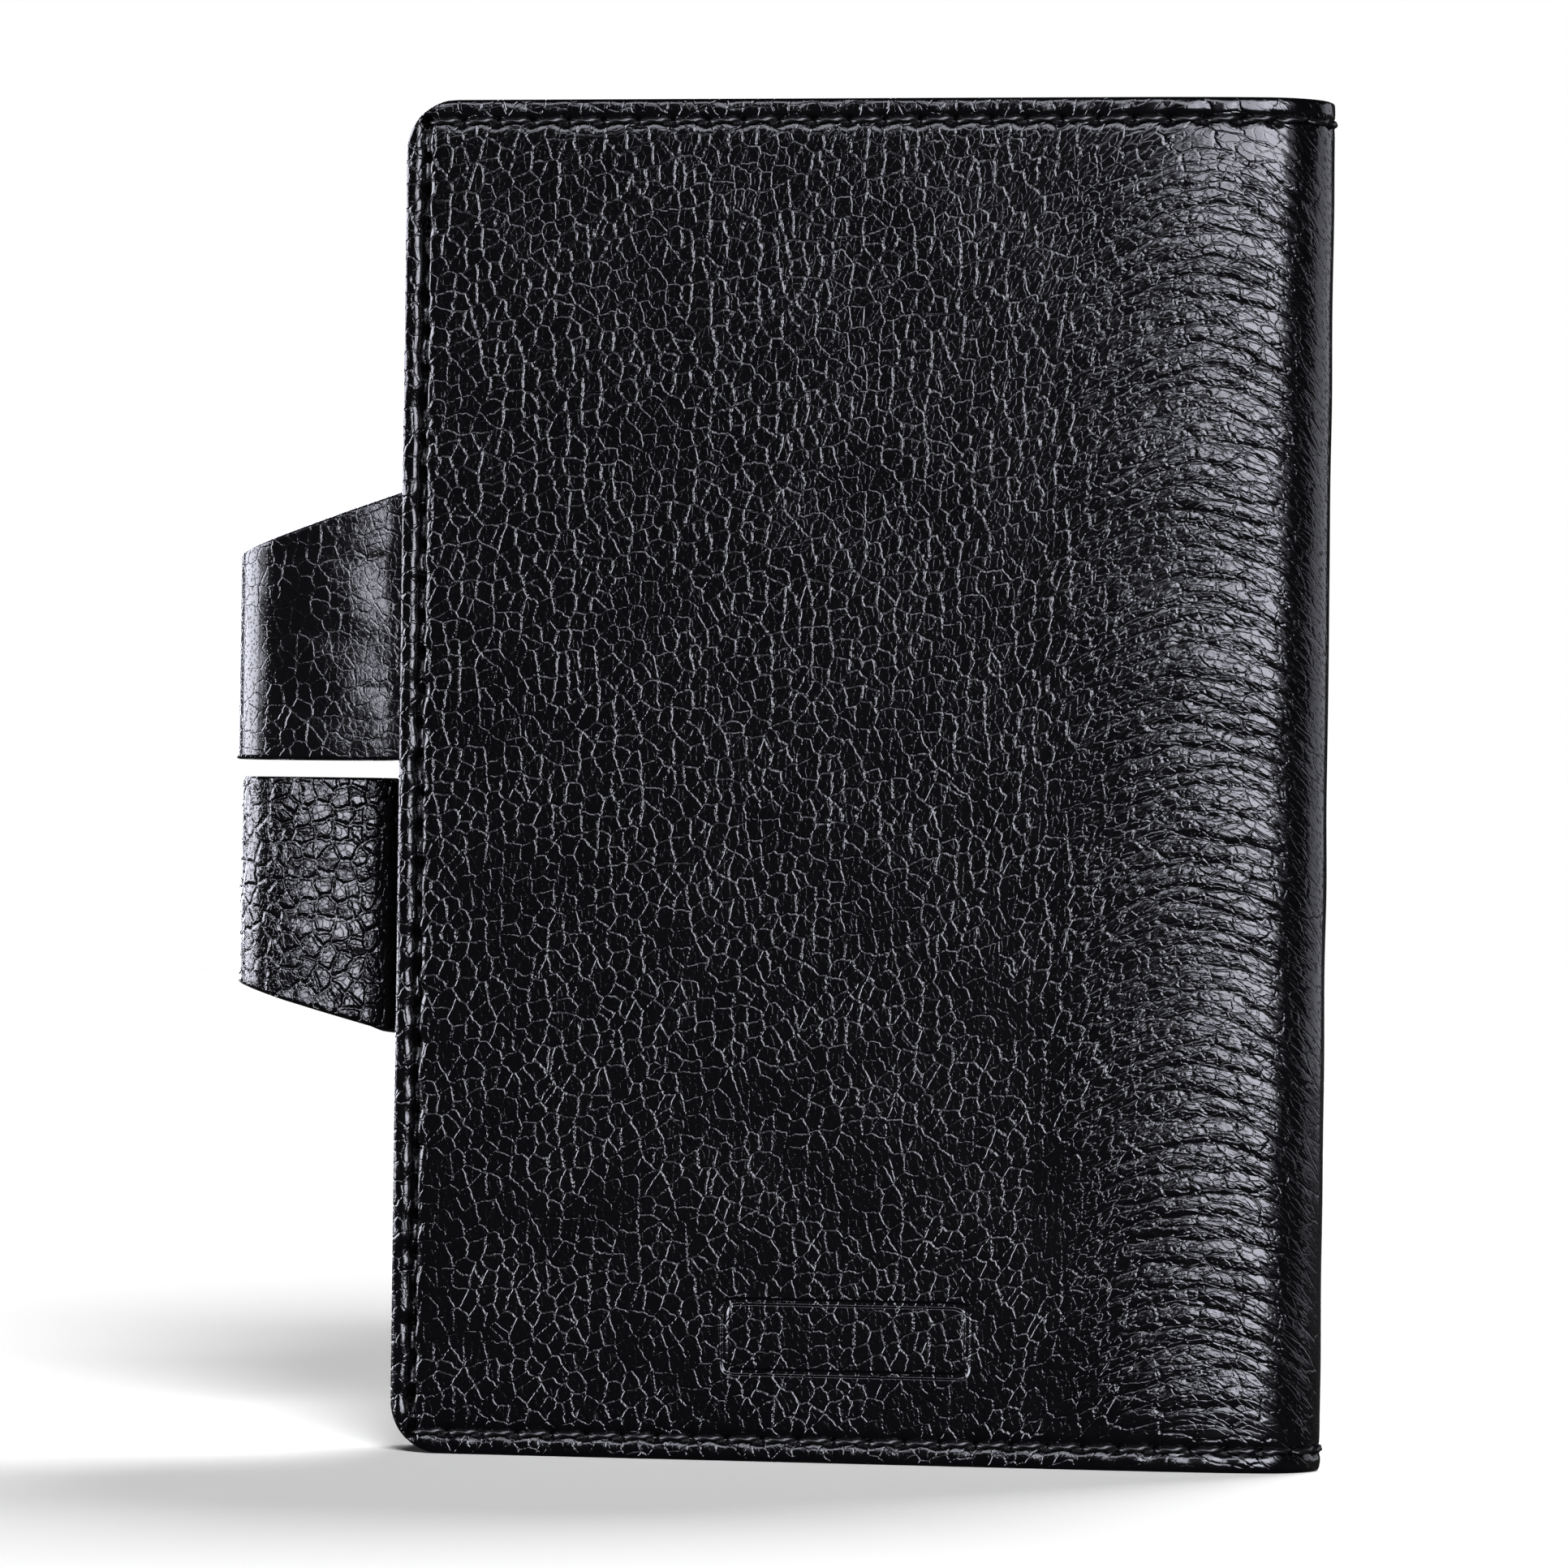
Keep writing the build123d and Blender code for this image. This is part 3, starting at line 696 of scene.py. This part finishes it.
def pen_loop(name, side, base, fold, pebble, folds):
    """A strap folded round a pen. base and fold are its lowest and highest points at each end,
    pebble is the width of one pebble of its grain, and folds is how strong its level creases are."""
    z = sizes()
    near_y = -HALF + z.leather
    root_y = near_y + z.lining
    corners = [
        (FORE_X + TONGUE, root_y), (FORE_X, root_y), (FORE_X - 3.1 * MM, 1.5 * MM),
        (LOOP_X, 6.4 * MM), (LOOP_X, near_y), (FORE_X, near_y)]
    radii = [r * MM for r in (0.8, 3.0, 5.0, 5.5)]
    path, heading = rounded_path(corners, radii, 0.45 * MM)
    tail = np.linspace(FORE_X + 0.4 * MM, FORE_X + TONGUE, 16)
    path = np.concatenate([path, np.stack([tail, np.full(16, near_y)], -1)])
    heading = np.concatenate([heading, np.tile([1.0, 0.0], (16, 1))])
    inward = np.stack([-heading[:, 1], heading[:, 0]], -1)
    leaf_share = np.clip((path[:, 0] - LOOP_X - 4 * MM) / (FORE_X - LOOP_X - 5.5 * MM), 0, 1)
    path = path - inward * 0.8 * MM * np.sin(pi * leaf_share)[:, None]
    run = np.concatenate([[0], np.cumsum(np.linalg.norm(np.diff(path, axis=0), axis=1))])
    sewn = ease(path[:, 0], FORE_X - 2.2 * MM, FORE_X + 0.2 * MM)
    thick = z.strap + (z.lining / 2 - z.strap) * sewn

    edge = np.array([0, 0.1, 0.25, 0.5, 0.9]) * MM
    out = np.clip((FORE_X - path[:, 0]) / (FORE_X - LOOP_X), 0, 1)
    low = base[0] + (fold[0] - base[0]) * out
    high = base[1] + (fold[1] - base[1]) * out
    share = np.linspace(0, 1, 48)[:, None]
    body = (low + edge[-1]) + (high - low - 2 * edge[-1]) * share
    height = np.concatenate([low + edge[:-1, None], body, high - edge[-2::-1, None]])
    from_edge = np.minimum(height - low, high - height)
    cut = 0.35 * MM
    worn = np.clip(cut - from_edge, 0, cut)
    runs = np.tile(run, (len(height), 1))
    fold_share = 1 - ease(path[:, 0], LOOP_X + 3.4 * MM, LOOP_X + 6.0 * MM)
    flat_share = (1 - fold_share) * (1 - sewn)
    dent = 0.08 * MM * flat_share * smooth_noise(runs, height, 7 * MM, 31)
    level = np.clip(np.sin(2 * pi * height / (4.6 * MM) + 2 * smooth_noise(runs, height, 9 * MM, 8)), 0, 1)
    dent = dent + 0.07 * MM * flat_share * level ** 6
    depth = cut - np.sqrt(cut ** 2 - worn ** 2) + np.maximum(dent, -0.05 * MM)
    places = path[None] + inward[None] * depth[..., None]
    inner = path + inward * thick[:, None]
    sheets = []
    for plan in (places, np.broadcast_to(inner[None], places.shape)):
        sheets.append(facing(np.concatenate([plan, height[..., None]], -1), side))
    grain = turned(np.stack([runs / pebble, height / (pebble * 1.15)], -1), side)
    stretched = turned(np.broadcast_to(fold_share * (1 - sewn), height.shape) * 0.8, side)
    creased = turned(np.broadcast_to(ease(leaf_share, 0.35, 0.8) * (1 - sewn), height.shape) * folds, side)
    return grid_mesh(
        name, *sheets, grain, {"stretched": stretched, "creased": creased, "seam": stretched * 0})


# ---------------------------------------------------------------- trees of repeated pieces


def new_tree(name, inputs):
    """A geometry tree with named inputs, each given as name, socket kind and default."""
    tree = bpy.data.node_groups.new(name, "GeometryNodeTree")
    tree.interface.new_socket("Geometry", in_out="INPUT", socket_type="NodeSocketGeometry")
    tree.interface.new_socket("Geometry", in_out="OUTPUT", socket_type="NodeSocketGeometry")
    for label, kind, default in inputs:
        socket = tree.interface.new_socket(label, in_out="INPUT", socket_type=kind)
        if default is not None:
            socket.default_value = default
    group = tree.nodes.new("NodeGroupInput")
    return tree, group.outputs


def end_tree(tree, geometry, material):
    whole = add_node(tree, "GeometryNodeRealizeInstances", {"Geometry": geometry})
    smooth = add_node(tree, "GeometryNodeSetShadeSmooth", {"Geometry": whole})
    dressed = add_node(tree, "GeometryNodeSetMaterial", {"Geometry": smooth, "Material": material})
    add_node(tree, "NodeGroupOutput", {0: dressed})


def stitch_tree():
    """Three-ply strands, each dipping into the needle hole at both its ends."""
    tree, given = new_tree("Seam Stitches", [
        ("Stitch Length", "NodeSocketFloat", 3.2 * MM), ("Thread Thickness", "NodeSocketFloat", 0.85 * MM),
        ("Dip", "NodeSocketFloat", 0.65 * MM), ("Plies Turned", "NodeSocketFloat", 5.0),
        ("Slant", "NodeSocketFloat", 0.13), ("Seed", "NodeSocketInt", 7),
        ("Thread", "NodeSocketMaterial", None)])
    half = add_node(tree, "ShaderNodeMath", {0: given["Stitch Length"], 1: 0.5}, operation="MULTIPLY")
    less = add_node(tree, "ShaderNodeMath", {0: half, 1: -1.0}, operation="MULTIPLY")
    start = add_node(tree, "ShaderNodeCombineXYZ", {"X": less})
    end = add_node(tree, "ShaderNodeCombineXYZ", {"X": half})
    line = add_node(tree, "GeometryNodeCurvePrimitiveLine", {"Start": start, "End": end})
    line = add_node(tree, "GeometryNodeResampleCurve", {"Curve": line, "Count": 10})
    along = add_node(tree, "GeometryNodeSplineParameter")
    centred = add_node(tree, "ShaderNodeMath", {0: along, 1: 2.0, 2: -1.0}, operation="MULTIPLY_ADD")
    side = add_node(tree, "ShaderNodeMath", {0: centred}, operation="ABSOLUTE")
    sink = add_node(tree, "ShaderNodeMath", {0: side, 1: 4.0}, operation="POWER")
    sunk = add_node(tree, "ShaderNodeMath", {0: sink, 1: given["Dip"]}, operation="MULTIPLY")
    down = add_node(tree, "ShaderNodeMath", {0: sunk, 1: -1.0}, operation="MULTIPLY")
    offset = add_node(tree, "ShaderNodeCombineXYZ", {"Z": down})
    line = add_node(tree, "GeometryNodeSetPosition", {"Geometry": line, "Offset": offset})
    twist = add_node(tree, "ShaderNodeMath", {0: along, 1: given["Plies Turned"]}, operation="MULTIPLY")
    line = add_node(tree, "GeometryNodeSetCurveTilt", {"Curve": line, "Tilt": twist})
    radius = add_node(
        tree, "ShaderNodeMath", {0: given["Thread Thickness"], 1: 0.46}, operation="MULTIPLY")
    ring = add_node(tree, "GeometryNodeCurvePrimitiveCircle", {"Resolution": 9, "Radius": radius})
    number = add_node(tree, "GeometryNodeInputIndex")
    phase = add_node(tree, "ShaderNodeMath", {0: number, 1: 2 * pi / 3}, operation="MULTIPLY")
    lobe = add_node(tree, "ShaderNodeMath", {0: phase}, operation="COSINE")
    swell = add_node(tree, "ShaderNodeMath", {0: lobe, 1: 0.17, 2: 1.0}, operation="MULTIPLY_ADD")
    where = add_node(tree, "GeometryNodeInputPosition")
    lobed = add_node(tree, "ShaderNodeVectorMath", {0: where, "Scale": swell}, operation="SCALE")
    ring = add_node(tree, "GeometryNodeSetPosition", {"Geometry": ring, "Position": lobed})
    strand = add_node(
        tree, "GeometryNodeCurveToMesh", {"Curve": line, "Profile Curve": ring, "Fill Caps": True})
    ahead = add_node(tree, "GeometryNodeInputNamedAttribute", {"Name": "along"}, data_type="FLOAT_VECTOR")
    out = add_node(tree, "GeometryNodeInputNamedAttribute", {"Name": "outward"}, data_type="FLOAT_VECTOR")
    facing_out = add_node(
        tree, "FunctionNodeAxesToRotation", {0: ahead, 1: out}, primary_axis="X", secondary_axis="Z")
    low = add_node(tree, "ShaderNodeMath", {0: given["Slant"], 1: 0.4}, operation="MULTIPLY")
    spin = add_node(
        tree, "FunctionNodeRandomValue", {2: low, 3: given["Slant"], "Seed": given["Seed"]}, output=1)
    spin_axis = add_node(tree, "ShaderNodeCombineXYZ", {"Z": spin})
    spin_turn = add_node(tree, "FunctionNodeEulerToRotation", {0: spin_axis})
    rotation = add_node(
        tree, "FunctionNodeRotateRotation", {0: facing_out, 1: spin_turn}, rotation_space="LOCAL")
    size = add_node(
        tree, "FunctionNodeRandomValue", {2: 0.94, 3: 1.04, "Seed": given["Seed"]}, output=1)
    strands = add_node(
        tree, "GeometryNodeInstanceOnPoints",
        {"Points": given["Geometry"], "Instance": strand, "Rotation": rotation, "Scale": size})
    end_tree(tree, strands, given["Thread"])
    return tree


def leaf_tree():
    """The folded leaves of one signature, each a little out of line with the next."""
    tree, given = new_tree("Signature Leaves", [
        ("Leaves", "NodeSocketInt", 10), ("Leaf Size", "NodeSocketVector", None),
        ("Leaf Pitch", "NodeSocketFloat", 0.11 * MM), ("Unevenness", "NodeSocketFloat", 0.12 * MM),
        ("Seed", "NodeSocketInt", 3), ("Paper", "NodeSocketMaterial", None)])
    step = add_node(tree, "ShaderNodeCombineXYZ", {"Y": given["Leaf Pitch"]})
    line = add_node(tree, "GeometryNodeMeshLine", {"Count": given["Leaves"], "Offset": step})
    leaf = add_node(tree, "GeometryNodeMeshCube", {"Size": given["Leaf Size"]})
    less = add_node(tree, "ShaderNodeMath", {0: given["Unevenness"], 1: -1.0}, operation="MULTIPLY")
    low = add_node(tree, "ShaderNodeCombineXYZ", {"X": less, "Z": less})
    high = add_node(tree, "ShaderNodeCombineXYZ", {"X": given["Unevenness"], "Z": given["Unevenness"]})
    shift = add_node(
        tree, "FunctionNodeRandomValue", {0: low, 1: high, "Seed": given["Seed"]}, data_type="FLOAT_VECTOR")
    line = add_node(tree, "GeometryNodeSetPosition", {"Geometry": line, "Offset": shift})
    leaves = add_node(tree, "GeometryNodeInstanceOnPoints", {"Points": line, "Instance": leaf})
    whole = add_node(tree, "GeometryNodeRealizeInstances", {"Geometry": leaves})
    dressed = add_node(tree, "GeometryNodeSetMaterial", {"Geometry": whole, "Material": given["Paper"]})
    add_node(tree, "NodeGroupOutput", {0: dressed})
    return tree


def grow(name, base, tree, values, place=(0, 0, 0)):
    """Runs a geometry tree on a mesh and gives back a plain mesh object at the origin."""
    seed = bpy.data.objects.new(name + "_seed", base)
    bpy.context.collection.objects.link(seed)
    modifier = seed.modifiers.new("Grow", "NODES")
    modifier.node_group = tree
    for item in tree.interface.items_tree:
        if item.item_type == "SOCKET" and item.in_out == "INPUT" and item.name in values:
            modifier[item.identifier] = values[item.name]
    graph = bpy.context.evaluated_depsgraph_get()
    graph.update()
    mesh = bpy.data.meshes.new_from_object(seed.evaluated_get(graph))
    mesh.name = name
    mesh.transform(Matrix.Translation(place))
    bpy.data.objects.remove(seed)
    piece = bpy.data.objects.new(name, mesh)
    bpy.context.collection.objects.link(piece)
    return piece


def stitch_points(places, along, outward):
    """A mesh of loose points that say where each strand lies and which way it runs and faces."""
    mesh = bpy.data.meshes.new("stitch_points")
    mesh.from_pydata([tuple(p) for p in places], [], [])
    for key, values in (("along", along), ("outward", outward)):
        layer = mesh.attributes.new(key, "FLOAT_VECTOR", "POINT")
        layer.data.foreach_set("vector", np.asarray(values, np.float32).ravel())
    return mesh


def seam_points(side, rim_depth, fore_depth, last_run=None, over_crown=False):
    """Places of the strands of one cover's seam, at these depths below the outside face."""
    z = sizes()
    outline = Outline()
    pitch = seam_columns(outline)[1]
    tall_pitch = seam_rows()[1]
    places, along, outward = [], [], []
    face = -1 if last_run else 1
    end = last_run or outline.crown_run - pitch / 2
    runs = list(np.arange(z.seam_inset + pitch / 2, end, pitch))
    if over_crown:
        runs.append(outline.crown_run)
    for run in runs:
        x, y = outline.at(np.array([run, run + 0.05 * MM]), rim_depth)
        ahead = Vector((x[1] - x[0], y[1] - y[0])).normalized()
        for height in (z.seam_inset, HEIGHT - z.seam_inset):
            places.append((x[0], -side * y[0], height))
            along.append((ahead.x, -side * ahead.y, 0))
            outward.append((ahead.y * face, side * ahead.x * face, 0))
    for height in np.arange(z.seam_inset + tall_pitch / 2, HEIGHT - z.seam_inset, tall_pitch):
        places.append((FORE_X + z.seam_inset, side * (HALF - fore_depth), height))
        along.append((0, 0, 1))
        outward.append((0, side * face, 0))
    return stitch_points(places, along, outward)


# ---------------------------------------------------------------- pieces


def dress(piece, *materials):
    """Gives the piece its materials, the face's first and the cut edges' second."""
    for material in materials:
        piece.data.materials.append(material)


def bend_with_spine(piece, side):
    """Bakes the piece's placement into its mesh, the same way for either side."""
    if side < 0:
        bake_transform(piece)
    else:
        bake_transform(piece)


SIDES = (("back", -1), ("front", 1))


class CoverOperator:
    bl_options = {"REGISTER", "UNDO"}


class COVER_OT_hide(CoverOperator, bpy.types.Operator):
    """Make the outer hide, in two halves that meet at the crown of the spine"""

    bl_idname = "notebook_cover.hide"
    bl_label = "Outer Hide"

    def execute(self, context):
        leather = full_grain_leather(
            "milled_full_grain_leather", 1.7 * MM, roughness=0.13, depth=0.042, stamped=True)
        edge = raw_edge_leather()
        for word, side in SIDES:
            piece = hide_half("outer_hide_" + word, side)
            dress(piece, leather, edge)
            bend_with_spine(piece, side)
            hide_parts("outer_leather_" + word)
            if side < 0:
                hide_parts("outer_leather_spine")
        return {"FINISHED"}


class COVER_OT_lining(CoverOperator, bpy.types.Operator):
    """Make the lining, notched at the fore edge for the tongue of each pen loop"""

    bl_idname = "notebook_cover.lining"
    bl_label = "Lining"

    def execute(self, context):
        z = sizes()
        leather = lining_leather("plated_lining_leather", 0.5)
        edge = raw_edge_leather()
        for (word, side), notch in zip(SIDES, (UPPER_BASE, LOWER_BASE)):
            piece = layer_half(
                "lining_layer_" + word, side, z.leather, z.leather + z.lining, 0, 0, HEIGHT, notch)
            dress(piece, leather, edge)
            bend_with_spine(piece, side)
            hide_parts("lining_" + word)
            if side < 0:
                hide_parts("lining_spine")
        return {"FINISHED"}


class COVER_OT_sleeves(CoverOperator, bpy.types.Operator):
    """Make the sleeve pockets that hold the refill's covers"""

    bl_idname = "notebook_cover.sleeves"
    bl_label = "Sleeve Pockets"

    def execute(self, context):
        leather = lining_leather("boarded_sleeve_leather", 0.42)
        edge = raw_edge_leather()
        for word, side in SIDES:
            piece = sleeve_pocket("sleeve_pocket_" + word, side)
            dress(piece, leather, edge)
            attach(piece, word + "_cover")
            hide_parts("sleeve_" + word)
        return {"FINISHED"}


class COVER_OT_loops(CoverOperator, bpy.types.Operator):
    """Make the two pen loops at the fore edge"""

    bl_idname = "notebook_cover.loops"
    bl_label = "Pen Loops"

    def execute(self, context):
        edge = raw_edge_leather()
        fine, coarse = 1.7 * MM, 1.9 * MM
        upper = full_grain_leather("strap_leather", fine, roughness=0.17, depth=0.03)
        lower = full_grain_leather("coarse_strap_leather", coarse, roughness=0.15, depth=0.13, crease=0.2)
        upper_fold = (UPPER_BASE[0], UPPER_BASE[1] - 7.4 * MM)
        lower_fold = (LOWER_BASE[0] + 6.2 * MM, LOWER_BASE[1])
        ends = (
            (UPPER_BASE, upper_fold, upper, fine, 0.3),
            (LOWER_BASE, lower_fold, lower, coarse, 0.1))
        for (word, side), (base, fold, leather, pebble, folds) in zip(SIDES, ends):
            piece = pen_loop("loop_strap_" + word, side, base, fold, pebble, folds)
            dress(piece, leather, edge)
            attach(piece, word + "_cover")
            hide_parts("pen_loop_" + word)
        return {"FINISHED"}


class COVER_OT_stitches(CoverOperator, bpy.types.Operator):
    """Sew the outer seams, and the seams that hold the sleeve pockets"""

    bl_idname = "notebook_cover.stitches"
    bl_label = "Seam Stitches"

    def execute(self, context):
        z = sizes()
        thread = waxed_thread()
        tree = stitch_tree()
        values = {"Thread Thickness": z.thread, "Thread": thread}
        for word, side in SIDES:
            points = seam_points(side, 0.06 * MM, 1.15 * MM, over_crown=side < 0)
            piece = grow("outer_stitches_" + word, points, tree, {**values, "Seed": 20 + side})
            bend_with_spine(piece, side)
            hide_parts("seam_thread_" + word)
            if side < 0:
                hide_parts("seam_thread_spine")
            over = z.leather + z.lining + z.sleeve - 0.25 * MM
            points = seam_points(side, over, over, last_run=SLEEVE_RUN - 1 * MM)
            piece = grow("sleeve_stitches_" + word, points, tree, {**values, "Seed": 30 + side})
            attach(piece, word + "_cover")
            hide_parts("seam_thread_sleeve_" + word)
        return {"FINISHED"}


class COVER_OT_card(CoverOperator, bpy.types.Operator):
    """Make the refill's kraft cover, tucked into the sleeves and bent round the pages"""

    bl_idname = "notebook_cover.card"
    bl_label = "Refill Cover"

    def execute(self, context):
        z = sizes()
        card = kraft_card()
        outer = z.leather + z.lining + z.play
        for word, side in SIDES:
            piece = layer_half(
                "refill_cover_" + word, side, outer, outer + z.card, page_low[0] - FORE_X,
                page_low[2], page_high[2])
            dress(piece, card, card)
            bend_with_spine(piece, side)
            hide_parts("notebook_cover_" + word)
            if side < 0:
                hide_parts("notebook_spine")
        return {"FINISHED"}


class COVER_OT_pages(CoverOperator, bpy.types.Operator):
    """Make the refill's eight signatures of folded leaves"""

    bl_idname = "notebook_cover.pages"
    bl_label = "Pages"

    def execute(self, context):
        paper = book_paper()
        tree = leaf_tree()
        leaves = 10
        for number in range(1, 9):
            low, high = (Vector(corner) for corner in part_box(f"signature_{number}"))
            size = high - low
            pitch = size.y / leaves
            uneven = 0.12 * MM
            leaf = (size.x - 2 * uneven, pitch * 0.86, size.z - 2 * uneven)
            middle = (low + high) / 2
            place = (middle.x, low.y + pitch / 2, middle.z)
            values = {
                "Leaves": leaves, "Leaf Size": leaf, "Leaf Pitch": pitch, "Unevenness": uneven,
                "Seed": number, "Paper": paper}
            base = bpy.data.meshes.new("leaf_seed")
            piece = grow(f"leaves_{number}", base, tree, values, place)
            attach(piece, "back_cover" if number <= 4 else "front_pages")
            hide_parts(f"signature_{number}")
        return {"FINISHED"}


# ---------------------------------------------------------------- studio


def add_light(name, azimuth, elevation, distance, size, watts):
    """A lamp aimed at the cover's middle, which only shows as a reflection."""
    lamp = bpy.data.lights.new(name, "AREA")
    lamp.shape = "RECTANGLE"
    lamp.size, lamp.size_y = size
    lamp.energy = watts
    lamp.color = (0.87, 0.88, 1.0)
    light = bpy.data.objects.new(name, lamp)
    bpy.context.collection.objects.link(light)
    turn = Matrix.Rotation(radians(azimuth), 4, "Z") @ Matrix.Rotation(radians(90 - elevation), 4, "X")
    middle = Vector((0.0, 0.0, HEIGHT / 2))
    light.matrix_world = Matrix.Translation(middle) @ turn @ Matrix.Translation((0, 0, distance))
    light.visible_camera = False
    light.visible_diffuse = False


def add_sun(name, azimuth, elevation, angle, strength):
    """An even light with soft shadows, which gives the plain brightness but no reflection."""
    lamp = bpy.data.lights.new(name, "SUN")
    lamp.energy = strength
    lamp.angle = radians(angle)
    light = bpy.data.objects.new(name, lamp)
    bpy.context.collection.objects.link(light)
    light.matrix_world = (
        Matrix.Rotation(radians(azimuth), 4, "Z") @ Matrix.Rotation(radians(90 - elevation), 4, "X"))
    light.visible_glossy = False


class COVER_OT_stage(CoverOperator, bpy.types.Operator):
    """Set out the floor, the lamps and the camera"""

    bl_idname = "notebook_cover.stage"
    bl_label = "Stage"

    def execute(self, context):
        scene = context.scene
        scene.view_settings.view_transform = "Standard"
        world = bpy.data.worlds.new("studio")
        world.use_nodes = True
        world.node_tree.nodes.clear()
        seen = add_node(world.node_tree, "ShaderNodeLightPath", output=0)
        bright = add_node(
            world.node_tree, "ShaderNodeMapRange", {"Value": seen, "To Min": 0.02, "To Max": 1.0})
        sky = add_node(
            world.node_tree, "ShaderNodeBackground", {"Color": (1.0, 1.0, 1.0, 1.0), "Strength": bright})
        add_node(world.node_tree, "ShaderNodeOutputWorld", {"Surface": sky})
        scene.world = world

        floor = bpy.data.meshes.new("floor")
        half = 4.0
        floor.from_pydata(
            [(-half, -half, 0), (half, -half, 0), (half, half, 0), (-half, half, 0)], [], [(0, 1, 2, 3)])
        board = bpy.data.objects.new("floor", floor)
        context.collection.objects.link(board)
        dress(board, floor_paint())

        # Azimuth and elevation in degrees, distance, width and height in metres, watts.
        # Keys and top strip light the bend and the crease walls, left and right lamps outline the
        # edges, and the rear lamp is for views from behind
        add_light("key_softbox", 29, 12, 1.5, (0.8, 0.9), 30.0)
        add_light("key_spill", 52, 12, 1.5, (0.4, 0.8), 1.4)
        add_light("key_edge", 8.5, 8, 1.5, (0.34, 0.8), 8.0)
        add_light("top_strip", -11, 30, 1.5, (1.0, 0.4), 8.0)
        add_light("left_softbox", -80, 8, 1.2, (1.0, 0.8), 38.0)
        add_light("rear_softbox", -140, 14, 1.5, (0.9, 0.9), 26.0)
        add_light("right_rim", 128, 10, 1.5, (1.2, 0.8), 3.2)
        # Azimuth, elevation and angle in degrees, strength. The first throws the short shadow in
        # front, and the second the long one behind and to the left
        add_sun("overhead", 164, 48, 28, 2.4)
        add_sun("low_front", 19, 24, 17, 4.7)

        camera = bpy.data.cameras.new("camera")
        camera.lens = 202.5
        camera.clip_start = 0.05
        view = bpy.data.objects.new("camera", camera)
        context.collection.objects.link(view)
        azimuth, elevation, roll, distance = radians(11.0), radians(-0.5), radians(0.71), 1.0112
        aside, aim_height = FORE_X + 43.35 * MM, 77.1 * MM
        aim = Matrix.Translation((aside * cos(azimuth), aside * sin(azimuth), aim_height))
        turn = Matrix.Rotation(azimuth, 4, "Z") @ Matrix.Rotation(pi / 2 - elevation, 4, "X")
        back = Matrix.Translation((0, 0, distance)) @ Matrix.Rotation(roll, 4, "Z")
        view.matrix_world = aim @ turn @ back
        scene.camera = view
        return {"FINISHED"}


# ---------------------------------------------------------------- panel and registration

OPERATORS = (
    COVER_OT_hide, COVER_OT_lining, COVER_OT_sleeves, COVER_OT_loops, COVER_OT_stitches,
    COVER_OT_card, COVER_OT_pages, COVER_OT_stage)


class COVER_PT_panel(bpy.types.Panel):
    bl_idname = "COVER_PT_panel"
    bl_label = "Notebook Cover"
    bl_space_type = "VIEW_3D"
    bl_region_type = "UI"
    bl_category = "Notebook Cover"

    def draw(self, context):
        for group in (context.scene.cover_sizes, context.scene.cover_colours):
            for key in group.bl_rna.properties.keys():
                if key not in ("rna_type", "name"):
                    self.layout.prop(group, key)
        for operator in OPERATORS:
            self.layout.operator(operator.bl_idname)


CLASSES = (CoverSizes, CoverColours, *OPERATORS, COVER_PT_panel)


def register():
    for item in CLASSES:
        bpy.utils.register_class(item)
    bpy.types.Scene.cover_sizes = bpy.props.PointerProperty(type=CoverSizes)
    bpy.types.Scene.cover_colours = bpy.props.PointerProperty(type=CoverColours)


def unregister():
    del bpy.types.Scene.cover_colours
    del bpy.types.Scene.cover_sizes
    for item in reversed(CLASSES):
        bpy.utils.unregister_class(item)


def main():
    register()
    for operator in OPERATORS:
        name = operator.bl_idname.split(".")[1]
        getattr(bpy.ops.notebook_cover, name)()


if __name__ == "__main__":
    main()
